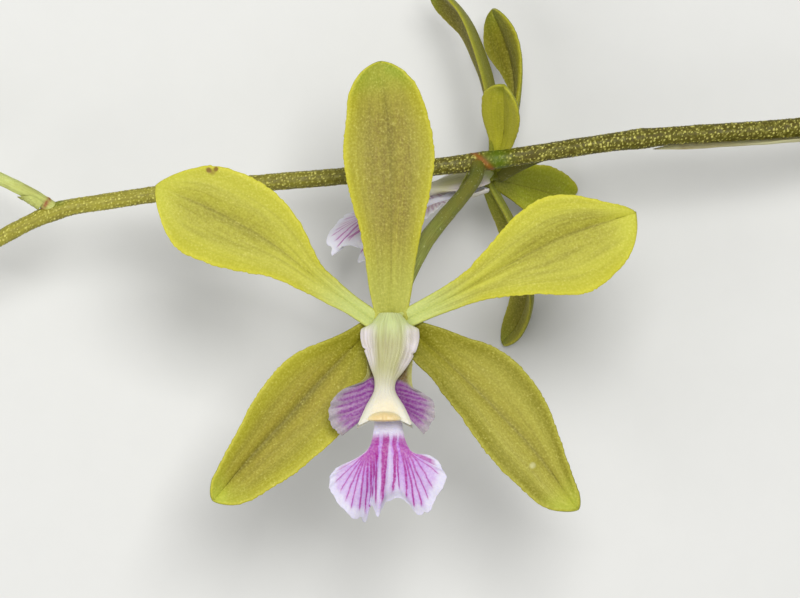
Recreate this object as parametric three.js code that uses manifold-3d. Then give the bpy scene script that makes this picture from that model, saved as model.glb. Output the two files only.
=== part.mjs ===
// A cut orchid stem with two open flowers and three buds, laid on its back.
// Millimetres. +X runs along the stem to its cut end, +Y runs up the front flower
// and +Z rises from the surface that the stem lies on.
import * as THREE from "three";
import Module from "manifold-3d";
import { mergeVertices } from "three/addons/utils/BufferGeometryUtils.js";

const wasm = await Module();
wasm.setup();

// The seat clearance between two organs, the distance below which corners are one, and how
// finely each shape is faceted.
const GAP = 0.3;
const WELD = 0.002;
const TEPAL_ROWS = 12;
const TEPAL_COLUMNS = 6;
const ROW_CROWDING = 1.3;
const LIP_ROWS = 11;
const LIP_COLUMNS = 24;
const LOBE_ROWS = 12;
const LOBE_COLUMNS = 6;
const COLUMN_ROWS = 14;
const COLUMN_AROUND = 16;
const ANTHER_AROUND = 16;
const LIMB_AROUND = 12;
const PEDICEL_ROWS = 12;
const BUD_ROWS = 10;
const STEM_ROWS = 64;
const STEM_AROUND = 12;
const SCALE_ROWS = 7;
const SCALE_COLUMNS = 4;

// The frame's origin lies under the middle of the whole stem, on the surface.
const FRAME_SHIFT = [-4.9, -4.9, 0];

// The stem's centreline, from the cut end to the tip, and its radius at even stations.
const STEM_PATH = [
  [66.0, 19.9, 0.9],
  [52.0, 17.9, 7.0],
  [37.2, 16.0, 11.9],
  [22.2, 14.8, 14.1],
  [7.7, 12.7, 15.0],
  [-4.6, 11.4, 15.1],
  [-18.4, 10.2, 14.9],
  [-27.7, 8.9, 14.5],
  [-31.8, 8.1, 14.2],
  [-37.1, 5.6, 13.1],
  [-44.5, 1.2, 9.2],
  [-50.5, -2.4, 4.6],
];
const STEM_RADIUS = [0.9, 0.87, 0.85, 0.83, 0.8, 0.76, 0.7, 0.5];
// Swollen nodes: how far along the stem each one is, from 0 to 1, and how far it swells.
const NODES = [0.372, 0.49, 0.811, 0.933];
const NODE_SWELL = 0.13;
const NODE_LENGTH = 0.011;

// Where the two flowers sit, each at the top of its ovary.
const FRONT_FLOWER = [-0.9, -1.6, 24];
const REAR_FLOWER = [8.4, 11.3, 9];

// The rear flower's lip and column are a little smaller and point left along the stem.
const REAR_LIP_SCALE = 0.9;
const REAR_LIP_UP = [0.79, 0.55, -0.26];
const REAR_LIP_FACE = [-0.35, 0.75, 0.55];

const TEPAL_HALF_THICKNESS = 0.33;
const KEEL_WIDTH = 0.2;

// Each tepal runs from its claw to its tip along a spine of points in its flower's own frame.
// face is the way its upper side looks. left and right are half-widths at even stations,
// seen with the tip up. tip is where the round end starts. cup lifts the margins and
// groove sinks the midrib.
const FRONT_TEPALS = {
  dorsal_sepal: {
    spine: [
      [0.1, 0.4, 0.2], [0.1, 6.0, 0.6], [0.1, 12.3, 0.7], [-0.2, 17.7, 0.7], [-0.9, 22.9, 1.4],
    ],
    face: [[0, 0, 1]],
    left: [1.5, 2.0, 2.3, 2.7, 3.3, 3.9, 4.2, 4.1, 3.7, 3.3, 2.9],
    right: [1.5, 1.9, 2.2, 2.6, 3.1, 3.6, 4.0, 3.9, 3.5, 3.0, 2.5],
    tip: 0.86,
    cup: [0.5, 0.3, 0.2, 0.3, 0.9],
    groove: 0.12,
  },
  petal_left: {
    spine: [
      [-1.6, -0.2, 0.4], [-6.5, 3.4, 1.0], [-10.8, 6.7, 1.4], [-15.8, 9.5, 1.8],
      [-21.0, 11.3, 2.2],
    ],
    face: [[0.1, 0.1, 1], [0, 0, 1], [0, 0.1, 1]],
    left: [0.9, 1.0, 1.4, 1.8, 2.4, 3.3, 4.1, 4.5, 4.6, 4.2, 3.6],
    right: [0.8, 0.75, 0.95, 1.3, 2.4, 3.5, 4.1, 4.2, 3.9, 3.2, 2.6],
    tip: 0.8,
    cup: [0.3, 0.2, 0.3, 0.2, 0.3],
    groove: 0.22,
  },
  petal_right: {
    spine: [
      [1.4, -0.3, 0.4], [6.1, 2.1, 1.0], [10.7, 4.7, 1.4], [15.8, 7.3, 1.8], [22.0, 9.35, 2.4],
    ],
    face: [[-0.1, 0.1, 1], [0, 0, 1], [0.1, 0, 1]],
    left: [0.9, 1.0, 1.15, 1.4, 2.1, 3.0, 3.7, 3.9, 3.1, 1.8, 1.0],
    right: [0.8, 0.9, 1.2, 1.6, 2.5, 3.5, 4.8, 5.5, 5.2, 4.2, 3.2],
    tip: 0.88,
    cup: [0.3, 0.2, 0.3, 0.2, 0.2],
    groove: 0.22,
  },
  lateral_sepal_left: {
    spine: [
      [-1.7, -1.0, -0.2], [-5.6, -5.0, -0.7], [-9.0, -8.8, -0.5], [-12.4, -12.4, 0.1],
      [-15.9, -16.5, 0.9],
    ],
    face: [[0, 0, 1]],
    left: [1.2, 2.2, 3.5, 4.5, 4.6, 4.4, 4.2, 3.9, 3.3, 2.6, 1.4],
    right: [0.9, 1.5, 2.4, 3.3, 3.6, 3.5, 3.2, 2.5, 2.0, 1.5, 0.9],
    tip: 0.93,
    cup: [0.5, 0.9, 1.0, 0.9, 0.7],
    groove: 0.3,
  },
  lateral_sepal_right: {
    spine: [
      [1.7, -1.0, -0.2], [6.0, -4.9, -0.7], [9.7, -8.5, -0.5], [13.5, -12.6, 0.1],
      [16.9, -17.3, 0.9],
    ],
    face: [[0, 0, 1]],
    left: [0.9, 2.0, 2.9, 3.9, 4.3, 4.2, 3.7, 2.8, 1.9, 1.2, 0.7],
    right: [1.2, 1.9, 2.0, 2.4, 2.7, 3.1, 3.4, 3.4, 3.1, 2.6, 1.2],
    tip: 0.93,
    cup: [0.5, 0.9, 1.0, 0.9, 0.7],
    groove: 0.3,
  },
};

const REAR_TEPALS = {
  rear_dorsal_sepal: {
    spine: [
      [0.3, 0.7, 0.2], [0.5, 5.4, 0.8], [0.1, 8.6, 1.0], [-0.8, 11.6, 0.8], [-2.2, 14.7, 0.2],
      [-4.1, 16.7, -0.6], [-5.7, 18.1, -1.5],
    ],
    face: [[-1, 0, 0]],
    left: [0.9, 1.3, 1.7, 2.1, 2.6, 3.0, 3.2, 3.0, 2.6, 2.2, 1.8],
    right: [0.9, 1.3, 1.7, 2.1, 2.6, 3.0, 3.2, 3.0, 2.6, 2.2, 1.8],
    tip: 0.86,
    cup: [0.3, 0.6, 0.8, 0.7, 0.6],
    groove: 0.12,
  },
  rear_petal_far: {
    spine: [
      [0.3, 0.5, -0.3], [1.0, 2.7, -0.8], [1.9, 5.1, -1.2], [2.4, 7.6, -1.6],
      [2.2, 10.1, -2.0], [1.5, 12.8, -2.5], [0.3, 16.0, -3.2],
    ],
    face: [[-0.8, 0, 0.6]],
    left: [0.5, 0.5, 0.5, 0.5, 0.5, 0.6, 1.1, 2.0, 2.5, 2.3, 1.9],
    right: [0.5, 0.6, 0.65, 0.7, 0.8, 1.2, 1.8, 2.3, 2.4, 2.1, 1.7],
    tip: 0.8,
    cup: [0.2, 0.2, 0.4, 0.5, 0.5],
    groove: 0.3,
  },
  rear_petal_near: {
    spine: [[0.4, 0.7, 0.4], [1.2, 3.6, 2.2], [1.3, 6.0, 5.0], [1.1, 8.3, 8.0]],
    face: [[-0.5, -0.7, 0.5]],
    left: [0.6, 0.9, 1.4, 1.9, 2.1, 2.0, 1.8],
    right: [0.6, 0.8, 1.2, 1.6, 1.9, 1.8, 1.6],
    tip: 0.8,
    cup: [0.2, 0.5, 0.7, 0.5],
    groove: 0.2,
  },
  rear_lateral_sepal_far: {
    spine: [
      [0.6, -0.2, -0.6], [3.0, -0.6, -3.2], [5.2, -1.1, -5.4], [6.8, -1.5, -7.2],
      [7.7, -1.8, -8.8],
    ],
    face: [[-0.4, 0.1, 0.9]],
    left: [0.9, 1.5, 2.1, 2.4, 2.4, 2.0, 1.4],
    right: [0.9, 1.5, 2.1, 2.4, 2.4, 2.0, 1.4],
    tip: 0.86,
    cup: [0.2, 0.4, 0.5, 0.4],
    groove: 0.2,
  },
  rear_lateral_sepal_near: {
    spine: [
      [-0.1, -0.5, -0.4], [0.7, -2.0, -0.8], [1.8, -4.0, -1.4], [3.3, -7.4, -3.0],
      [3.7, -10.5, -5.0], [3.0, -13.3, -7.0], [1.4, -15.6, -8.8],
    ],
    face: [[-0.9, 0, 0.4]],
    left: [0.9, 1.4, 1.9, 2.3, 2.5, 2.5, 2.2, 1.8, 1.2],
    right: [0.9, 1.4, 1.9, 2.3, 2.5, 2.5, 2.2, 1.8, 1.2],
    tip: 0.86,
    cup: [0.4, 0.7, 0.8, 0.6, 0.4],
    groove: 0.3,
  },
};

// The lip, in its flower's own frame: a claw under the column, then a narrow waist that
// opens into a ruffled fan. FAN_MARGIN is the fan's free edge from left to right.
const CLAW_BASE = { x: 0, y: -0.9, z: -0.35, halfWidth: 0.9 };
const WAIST = { x: -0.15, y: -9.9, z: 2.4, halfWidth: 1.3 };
const FAN_BEND = { x: -0.1, y: -11.9, z: 3.2, halfWidth: 1.95 };
const FAN_MARGIN = [
  [-4.9, -13.6, 2.9], [-5.4, -14.7, 2.7], [-5.1, -16.0, 2.8], [-4.3, -17.3, 2.9],
  [-3.2, -18.1, 2.4],
  [-2.4, -18.4, 2.0], [-1.9, -16.9, 3.0], [-1.3, -17.8, 3.4], [-0.5, -17.0, 3.2], [0.1, -16.7, 3.1],
  [0.9, -16.6, 2.9], [1.7, -17.1, 3.0], [2.5, -17.8, 3.1], [3.5, -17.3, 3.0], [4.4, -16.0, 3.1],
  [5.1, -14.5, 2.9], [4.7, -13.2, 3.0], [3.9, -12.4, 3.1],
];
const LIP_STATIONS = [0, 0.42, 0.6, 1];
const LIP_HALF_THICKNESS = 0.2;

// Each side lobe is a sheet from a root on the claw out to a free margin. It stands as a wall
// beside the column, then flares into an ear, whose lower edge is its last row.
const LEFT_LOBE = {
  root: [
    [-0.35, -1.2, -0.2], [-0.35, -3.2, 0.35], [-0.4, -5.2, 0.95], [-0.6, -6.5, 1.35],
    [-1.0, -7.5, 1.75], [-1.4, -8.4, 2.1],
  ],
  margin: [
    [-2.45, -1.3, 0.7], [-2.35, -2.4, 0.9], [-2.15, -3.6, 1.2], [-2.1, -5.2, 1.9],
    [-2.8, -6.0, 2.6], [-4.0, -6.4, 2.9],
    [-4.9, -7.1, 3.1], [-5.4, -8.3, 2.9], [-5.15, -9.8, 2.5], [-4.25, -10.7, 2.4],
  ],
};
const RIGHT_LOBE = {
  root: [
    [0.1, -1.2, -0.2], [0.1, -3.3, 0.4], [0.1, -5.6, 1.05], [0.2, -6.7, 1.4],
    [0.5, -7.5, 1.75], [0.9, -8.2, 2.05],
  ],
  margin: [
    [2.45, -1.4, 0.7], [2.35, -2.4, 0.9], [2.1, -3.6, 1.2], [1.95, -5.5, 2.0], [2.2, -6.5, 2.8],
    [2.9, -6.8, 3.2],
    [3.65, -7.35, 3.5], [4.05, -8.2, 3.4], [3.75, -9.5, 3.0], [3.05, -10.5, 2.7],
  ],
};
const LOBE_STATIONS = [0, 0.09, 0.19, 0.32, 0.4, 0.49, 0.57, 0.68, 0.84, 1];
const LOBE_BULGE_OUT = [0.3, 0.3, 0.25, 0.05, 0, 0];
const LOBE_BULGE_UP = [-0.4, -0.4, -0.3, 0, 0.2, 0.1];

// A lobe's thickness is measured along this way, which leans in over the claw.
const LOBE_LEAN = { inward: 0.64, upward: 0.77 };

// The column arches forward over the claw. It is broad at its foot and narrow at its neck, and
// its end forks into two wings round the anther.
const COLUMN_PATH = [[0, 0.3, 0.9], [-0.05, -2.8, 1.7], [-0.45, -6.0, 2.7], [-0.45, -8.6, 3.9]];
const COLUMN_HALF_WIDTH = [0.7, 1.7, 2.55, 2.4, 2.0, 1.45, 1.0, 0.95, 1.4, 2.5];
const COLUMN_HALF_DEPTH = [0.4, 0.75, 0.75, 0.7, 0.62, 0.55, 0.55, 0.65, 0.7, 0.45];
const WING_REACH = 1.35;
const WING_START = 0.72;
const ANTHER = { at: [-0.5, -9.05, 4.15], radii: [1.5, 0.62, 0.72] };

// Pedicels: a path from inside the stem to the flower or bud, and a radius at even stations.
const FRONT_PEDICEL = {
  path: [
    [7.2, 12.6, 15.1], [6.9, 11.1, 16.9], [5.6, 9.3, 18.0], [3.9, 7.3, 19.2], [2.3, 5.2, 20.4],
    [0.6, 2.1, 21.6], [-0.5, -0.4, 22.4], [-0.9, -1.7, 23.1],
  ],
  radius: [0.68, 0.64, 0.66, 0.7, 0.74, 0.78, 0.85, 0.9, 0.8],
};
const REAR_PEDICEL = {
  path: [
    [22.2, 14.6, 13.9], [18.0, 14.2, 12.0], [14.0, 13.5, 10.7], [11.0, 12.4, 9.8],
    [9.3, 11.6, 9.3],
  ],
  radius: [0.55, 0.55, 0.6, 0.7, 0.75],
};
const BUD_PEDICEL = {
  path: [
    [-31.9, 8.3, 14.3], [-34.5, 9.9, 14.5], [-38.0, 11.6, 13.9], [-42.5, 13.7, 11.3],
    [-46.0, 15.4, 7.8],
  ],
  radius: [0.55, 0.53, 0.52, 0.52, 0.6],
};

// Buds: their own long centreline and radius.
const BUD = {
  path: [[-46.15, 15.5, 7.6], [-49.6, 17.2, 3.75], [-52.7, 18.8, 1.5], [-55.6, 20.3, 0.9]],
  radius: [0.5, 1.3, 1.9, 2.2, 2.1, 1.6, 0.9, 0.3],
};
const TIP_BUD_UPPER = {
  path: [
    [-44.5, 1.3, 9.3], [-47.0, 2.9, 8.8], [-50.3, 4.5, 7.0], [-53.2, 5.7, 5.0],
    [-56.4, 7.0, 3.2],
  ],
  radius: [0.42, 0.4, 0.4, 0.42, 0.6, 1.1, 1.45, 1.5, 1.1, 0.5, 0.2],
};
const TIP_BUD_END = {
  path: [[-50.9, -2.65, 4.2], [-53.4, -4.2, 1.5], [-56.2, -5.8, 0.6]],
  radius: [0.4, 0.8, 1.15, 1.2, 0.9, 0.45, 0.2],
};

// Scales that clasp a limb: from and to are stations along it, side is the way they face and
// open is how far round they reach at the foot, in radians. clearance is their radius.
const SCALE_HALF_THICKNESS = 0.1;
const SHEATH = {
  limbPath: STEM_PATH,
  from: 0.19,
  to: 0.362,
  side: [0, -0.8, -0.6],
  open: 1.2,
  clearance: 1.3,
};
const MAIN_BRACT = {
  limbPath: FRONT_PEDICEL.path,
  from: 0.1,
  to: 0.24,
  side: [-0.3, 0.2, -1],
  open: 1.3,
  clearance: 1.05,
};
const LEFT_BRACT = {
  limbPath: BUD_PEDICEL.path,
  from: 0.07,
  to: 0.2,
  side: [-0.2, -1, 0.2],
  open: 1.3,
  clearance: 0.98,
};

// A smooth value at s, from 0 to 1, through values at even or given stations.
// Values are numbers or [x, y, z].
function through(values, s, stations) {
  const last = values.length - 1;
  if (last === 0) return values[0];
  if (Array.isArray(values[0])) {
    return [0, 1, 2].map((k) => through(values.map((v) => v[k]), s, stations));
  }
  const at = stations ?? values.map((_, i) => i / last);
  let i = 0;
  while (i < last - 1 && s > at[i + 1]) i += 1;
  const slope = (k) => {
    const a = Math.max(k - 1, 0);
    const b = Math.min(k + 1, last);
    return (values[b] - values[a]) / (at[b] - at[a]);
  };
  const h = at[i + 1] - at[i];
  const t = (s - at[i]) / h;
  const fromHere = 2 * t ** 3 - 3 * t ** 2 + 1;
  const slopeHere = (t ** 3 - 2 * t ** 2 + t) * h;
  const slopeNext = (t ** 3 - t ** 2) * h;
  return (
    fromHere * values[i] +
    (1 - fromHere) * values[i + 1] +
    slopeHere * slope(i) +
    slopeNext * slope(i + 1)
  );
}

// A smooth path through points, measured by the distance along it.
function pathOf(points) {
  const stations = [0];
  for (let i = 1; i < points.length; i += 1) {
    const step = Math.hypot(...points[i].map((x, k) => x - points[i - 1][k]));
    stations.push(stations[i - 1] + step);
  }
  const total = stations[stations.length - 1];
  return (s) => new THREE.Vector3(...through(points, s, stations.map((d) => d / total)));
}

function directionAt(path, s) {
  const step = 1e-3;
  return path(Math.min(1, s + step)).sub(path(Math.max(0, s - step))).normalize();
}

// The part of a vector that is square to a direction, at unit length.
function squareTo(vector, direction) {
  return vector.clone().addScaledVector(direction, -vector.dot(direction)).normalize();
}

// A closed solid from triangles given as corner points, without the collapsed ones.
function solidFrom(points) {
  const merged = mergeVertices(new THREE.BufferGeometry().setFromPoints(points), WELD);
  const corners = merged.index.array;
  const kept = [];
  for (let i = 0; i < corners.length; i += 3) {
    const [a, b, c] = corners.subarray(i, i + 3);
    if (a !== b && b !== c && c !== a) kept.push(a, b, c);
  }
  const mesh = new wasm.Mesh({
    numProp: 3,
    vertProperties: merged.attributes.position.array,
    triVerts: new Uint32Array(kept),
  });
  return new wasm.Manifold(mesh);
}

function addQuad(points, a, b, c, d) {
  points.push(a, b, c, a, c, d);
}

// A sheet with thickness over pointAt(s, u), s from 0 to 1 and u from -1 to 1. It thins to
// nothing at its rim. grow swells it on every side, to cut a clearance with. The thickness
// lies along lean, which is on the side of across times along, or square to the sheet.
function sheet(pointAt, rows, columns, half, grow = 0, lean = null) {
  const grid = [];
  for (let i = 0; i <= rows; i += 1) {
    const s = 1 - (1 - i / rows) ** ROW_CROWDING;
    grid.push([]);
    for (let j = 0; j <= columns; j += 1) {
      grid[i].push(pointAt(s, -Math.cos((Math.PI * j) / columns)));
    }
  }
  const node = (i, j) => grid[Math.min(Math.max(i, 0), rows)][Math.min(Math.max(j, 0), columns)];
  const top = [];
  const bottom = [];
  for (let i = 0; i <= rows; i += 1) {
    top.push([]);
    bottom.push([]);
    for (let j = 0; j <= columns; j += 1) {
      const r = Math.min(Math.max(i, 1), rows - 1);
      const across = node(r, j + 1).clone().sub(node(r, j - 1));
      const along = node(r + 1, j).clone().sub(node(r - 1, j));
      const up = lean ?? across.cross(along).normalize();
      const rim = i === 0 || i === rows || j === 0 || j === columns;
      const p = node(i, j).clone();
      if (rim && grow > 0) {
        const inner = node(Math.min(Math.max(i, 1), rows - 1), Math.min(Math.max(j, 1), columns - 1));
        p.addScaledVector(p.clone().sub(inner).normalize(), grow);
      }
      const lift = grow + (rim ? 0 : half * Math.sqrt(Math.sin((Math.PI * j) / columns)));
      top[i].push(p.clone().addScaledVector(up, lift));
      bottom[i].push(p.clone().addScaledVector(up, -lift));
    }
  }
  const points = [];
  for (let i = 0; i < rows; i += 1) {
    for (let j = 0; j < columns; j += 1) {
      addQuad(points, top[i][j], top[i][j + 1], top[i + 1][j + 1], top[i + 1][j]);
      addQuad(points, bottom[i][j], bottom[i + 1][j], bottom[i + 1][j + 1], bottom[i][j + 1]);
    }
    addQuad(points, top[i][0], top[i + 1][0], bottom[i + 1][0], bottom[i][0]);
    addQuad(points, top[i][columns], bottom[i][columns], bottom[i + 1][columns], top[i + 1][columns]);
  }
  for (let j = 0; j < columns; j += 1) {
    addQuad(points, top[0][j], bottom[0][j], bottom[0][j + 1], top[0][j + 1]);
    addQuad(points, top[rows][j], top[rows][j + 1], bottom[rows][j + 1], bottom[rows][j]);
  }
  return solidFrom(points);
}

// A round limb along a path. ringAt(s, angle) gives its half-width and half-depth, and how
// far forward that point of the ring reaches.
function limb(points, ringAt, rows, around, grow = 0) {
  const path = pathOf(points);
  const up = new THREE.Vector3(0, 0, 1);
  const rings = [];
  for (let i = 0; i <= rows; i += 1) {
    const s = i / rows;
    const forward = directionAt(path, s);
    const depth = squareTo(up, forward);
    const width = forward.clone().cross(depth);
    const centre = path(s);
    if (i === 0) centre.addScaledVector(forward, -grow);
    if (i === rows) centre.addScaledVector(forward, grow);
    const ring = [];
    for (let k = 0; k < around; k += 1) {
      const angle = (2 * Math.PI * k) / around;
      const { halfWidth, halfDepth, reach = 0 } = ringAt(s, angle);
      ring.push(
        centre
          .clone()
          .addScaledVector(width, Math.cos(angle) * (halfWidth + grow))
          .addScaledVector(depth, Math.sin(angle) * (halfDepth + grow))
          .addScaledVector(forward, reach),
      );
    }
    rings.push({ centre, ring });
  }
  const corners = [];
  for (let k = 0; k < around; k += 1) {
    const n = (k + 1) % around;
    for (let i = 0; i < rows; i += 1) {
      const here = rings[i].ring;
      const next = rings[i + 1].ring;
      addQuad(corners, here[k], next[k], next[n], here[n]);
    }
    corners.push(rings[0].centre, rings[0].ring[k], rings[0].ring[n]);
    corners.push(rings[rows].centre, rings[rows].ring[n], rings[rows].ring[k]);
  }
  return solidFrom(corners);
}

function roundLimb({ path, radius }, rows, around, grow) {
  const ringAt = (s) => {
    const r = through(radius, s);
    return { halfWidth: r, halfDepth: r };
  };
  return limb(path, ringAt, rows, around, grow);
}

// A tepal's surface: the spine, plus the half-width to either side, plus the cup of its
// margins and the groove of its midrib. The end rounds off as an ellipse.
function tepal({ spine, face, left, right, tip, cup, groove }, place, grow) {
  const path = pathOf(spine);
  const pointAt = (s, u) => {
    const forward = directionAt(path, s);
    const up = squareTo(new THREE.Vector3(...through(face, s)), forward);
    const side = forward.clone().cross(up);
    const end = Math.sqrt(Math.max(0, 1 - (Math.max(0, s - tip) / (1 - tip)) ** 2));
    const half = through(u < 0 ? left : right, s) * end;
    const rise = (through(cup, s) * u ** 2 - groove * Math.exp(-((u / KEEL_WIDTH) ** 2))) * end;
    return path(s).addScaledVector(side, u * half).addScaledVector(up, rise).applyMatrix4(place);
  };
  return sheet(pointAt, TEPAL_ROWS, TEPAL_COLUMNS, TEPAL_HALF_THICKNESS, grow);
}

// The lip: its claw, waist and fan as one sheet, joined to the two side lobes.
function lip(place, grow) {
  const scale = place.getMaxScaleOnAxis();
  const thick = LIP_HALF_THICKNESS * scale;
  const middle = (s, u) => {
    const margin = through(FAN_MARGIN, (u + 1) / 2);
    const steps = [CLAW_BASE, WAIST, FAN_BEND].map((c) => [c.x + u * c.halfWidth, c.y, c.z]);
    return new THREE.Vector3(...through([...steps, margin], s, LIP_STATIONS)).applyMatrix4(place);
  };
  const lobe = ({ root, margin }) => (s, u) => {
    const across = (u + 1) / 2;
    const from = new THREE.Vector3(...through(root, s));
    const to = new THREE.Vector3(...through(margin, s, LOBE_STATIONS));
    const bulge = 4 * across * (1 - across);
    const outward = Math.sign(to.x) * through(LOBE_BULGE_OUT, s);
    const upward = through(LOBE_BULGE_UP, s);
    const point = from.lerp(to, across).add(new THREE.Vector3(outward * bulge, 0, upward * bulge));
    return point.applyMatrix4(place);
  };
  const way = (x, z) => new THREE.Vector3(x, 0, z).transformDirection(place);
  const { inward, upward } = LOBE_LEAN;
  const fan = sheet(middle, LIP_ROWS, LIP_COLUMNS, thick, grow, way(0, -1));
  const left = sheet(lobe(LEFT_LOBE), LOBE_ROWS, LOBE_COLUMNS, thick, grow, way(inward, upward));
  const right = sheet(lobe(RIGHT_LOBE), LOBE_ROWS, LOBE_COLUMNS, thick, grow, way(inward, -upward));
  return fan.add(left).add(right);
}

function column(place, grow) {
  const ringAt = (s, angle) => {
    const end = Math.max(0, (s - WING_START) / (1 - WING_START));
    return {
      halfWidth: through(COLUMN_HALF_WIDTH, s),
      halfDepth: through(COLUMN_HALF_DEPTH, s),
      reach: WING_REACH * end ** 2 * Math.cos(angle) ** 2,
    };
  };
  return placed(limb(COLUMN_PATH, ringAt, COLUMN_ROWS, COLUMN_AROUND, grow), place);
}

function antherCap(place, grow) {
  const [a, b, c] = ANTHER.radii.map((r) => r + grow);
  const cap = wasm.Manifold.sphere(1, ANTHER_AROUND).scale([a, b, c]).translate(ANTHER.at);
  return placed(cap, place);
}

function placed(solid, matrix) {
  return solid.transform(matrix.elements);
}

// The stem swells a little at each node.
function stem(grow) {
  const ringAt = (s) => {
    const bulges = NODES.map((node) => Math.exp(-(((s - node) / NODE_LENGTH) ** 2)));
    const r = through(STEM_RADIUS, s) * (1 + NODE_SWELL * Math.max(...bulges));
    return { halfWidth: r, halfDepth: r };
  };
  return limb(STEM_PATH, ringAt, STEM_ROWS, STEM_AROUND, grow);
}

// A leafy scale that lies along a limb and narrows to a point. from and to are its foot and
// tip along the limb, open is how far round it reaches each way, in radians.
function scale({ limbPath, from, to, side, open, clearance }, grow) {
  const path = pathOf(limbPath);
  const pointAt = (s, u) => {
    const at = from + (to - from) * s;
    const forward = directionAt(path, at);
    const out = squareTo(new THREE.Vector3(...side), forward);
    const round = out.clone().cross(forward);
    const angle = -u * open * Math.cos((Math.PI / 2) * s ** 2);
    return path(at)
      .addScaledVector(out, Math.cos(angle) * clearance)
      .addScaledVector(round, Math.sin(angle) * clearance);
  };
  return sheet(pointAt, SCALE_ROWS, SCALE_COLUMNS, SCALE_HALF_THICKNESS, grow);
}

function flowerFrame(centre, size = 1, up = [0, 1, 0], face = [0, 0, 1]) {
  const y = new THREE.Vector3(...up).normalize();
  const z = squareTo(new THREE.Vector3(...face), y);
  const x = y.clone().cross(z);
  return new THREE.Matrix4()
    .makeBasis(x, y, z)
    .scale(new THREE.Vector3(size, size, size))
    .setPosition(...centre);
}

const GREEN_STEM = { color: 0x6f8a3a, roughness: 0.6 };
const PALE_SCALE = { color: 0xcfd3a0, roughness: 0.6 };
const OVARY_GREEN = { color: 0x8c9a6a, roughness: 0.55 };
const TEPAL_YELLOW = { color: 0xb8b04a, roughness: 0.5 };
const LIP_WHITE = { color: 0xe6d9ee, roughness: 0.5 };
const COLUMN_CREAM = { color: 0xe9e6b8, roughness: 0.45 };
const ANTHER_TAN = { color: 0xd0a860, roughness: 0.5 };
const BUD_GREEN = { color: 0xa7b45a, roughness: 0.55 };

// Every organ, inner ones first: each later one is cut back to clear those before it.
const organs = [];
const add = (name, finish, build) => organs.push({ name, finish, build });

function addFlower(prefix, centre, tepals, lipFrame) {
  const place = flowerFrame(centre);
  add(prefix + "lip", LIP_WHITE, (grow) => lip(lipFrame, grow));
  add(prefix + "anther_cap", ANTHER_TAN, (grow) => antherCap(lipFrame, grow));
  add(prefix + "column", COLUMN_CREAM, (grow) => column(lipFrame, grow));
  const petals = Object.keys(tepals).filter((name) => name.includes("petal"));
  const sepals = Object.keys(tepals).filter((name) => name.includes("sepal"));
  for (const name of [...petals, ...sepals]) {
    add(name, TEPAL_YELLOW, (grow) => tepal(tepals[name], place, grow));
  }
}

add("stem", GREEN_STEM, stem);
const rearLipFrame = flowerFrame(REAR_FLOWER, REAR_LIP_SCALE, REAR_LIP_UP, REAR_LIP_FACE);
addFlower("", FRONT_FLOWER, FRONT_TEPALS, flowerFrame(FRONT_FLOWER));
addFlower("rear_", REAR_FLOWER, REAR_TEPALS, rearLipFrame);
for (const [name, finish, shape, rows] of [
  ["ovary", OVARY_GREEN, FRONT_PEDICEL, PEDICEL_ROWS],
  ["rear_ovary", OVARY_GREEN, REAR_PEDICEL, PEDICEL_ROWS],
  ["bud_pedicel", OVARY_GREEN, BUD_PEDICEL, PEDICEL_ROWS],
  ["bud", BUD_GREEN, BUD, BUD_ROWS],
  ["tip_bud_upper", BUD_GREEN, TIP_BUD_UPPER, BUD_ROWS],
  ["tip_bud_end", BUD_GREEN, TIP_BUD_END, BUD_ROWS],
]) {
  add(name, finish, (grow) => roundLimb(shape, rows, LIMB_AROUND, grow));
}
for (const [name, shape] of [
  ["stem_sheath", SHEATH],
  ["bract_main", MAIN_BRACT],
  ["bract_left", LEFT_BRACT],
]) {
  add(name, PALE_SCALE, (grow) => scale(shape, grow));
}

function boxesMeet(a, b) {
  return [0, 1, 2].every((k) => a.min[k] < b.max[k] && b.min[k] < a.max[k]);
}

function largestBody(solid) {
  return solid.decompose().sort((a, b) => b.volume() - a.volume())[0];
}

// The mesh of a solid, with its own finish.
function meshOf(name, solid, { color, roughness }) {
  const { vertProperties, triVerts, numProp } = solid.getMesh();
  const positions = new Float32Array((vertProperties.length / numProp) * 3);
  for (let i = 0; i < positions.length / 3; i += 1) {
    positions.set(vertProperties.subarray(i * numProp, i * numProp + 3), i * 3);
  }
  const geometry = new THREE.BufferGeometry()
    .setAttribute("position", new THREE.BufferAttribute(positions, 3))
    .setIndex(new THREE.BufferAttribute(triVerts, 1));
  geometry.computeVertexNormals();
  const material = new THREE.MeshStandardMaterial({ color, roughness, metalness: 0 });
  const mesh = new THREE.Mesh(geometry, material);
  mesh.name = name;
  return mesh;
}

const group = new THREE.Group();
group.position.set(...FRAME_SHIFT);
const cutters = [];
for (const { name, finish, build } of organs) {
  let solid = build(0);
  for (const cutter of cutters) {
    if (boxesMeet(solid.boundingBox(), cutter.boundingBox())) solid = solid.subtract(cutter);
  }
  solid = largestBody(solid).setTolerance(WELD).simplify(WELD);
  cutters.push(build(GAP));
  group.add(meshOf(name, solid, finish));
}

export default group;
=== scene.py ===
import logging
from dataclasses import dataclass, field, replace
from enum import Enum
from functools import partial, reduce
from typing import Callable, Optional, Sequence

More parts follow.
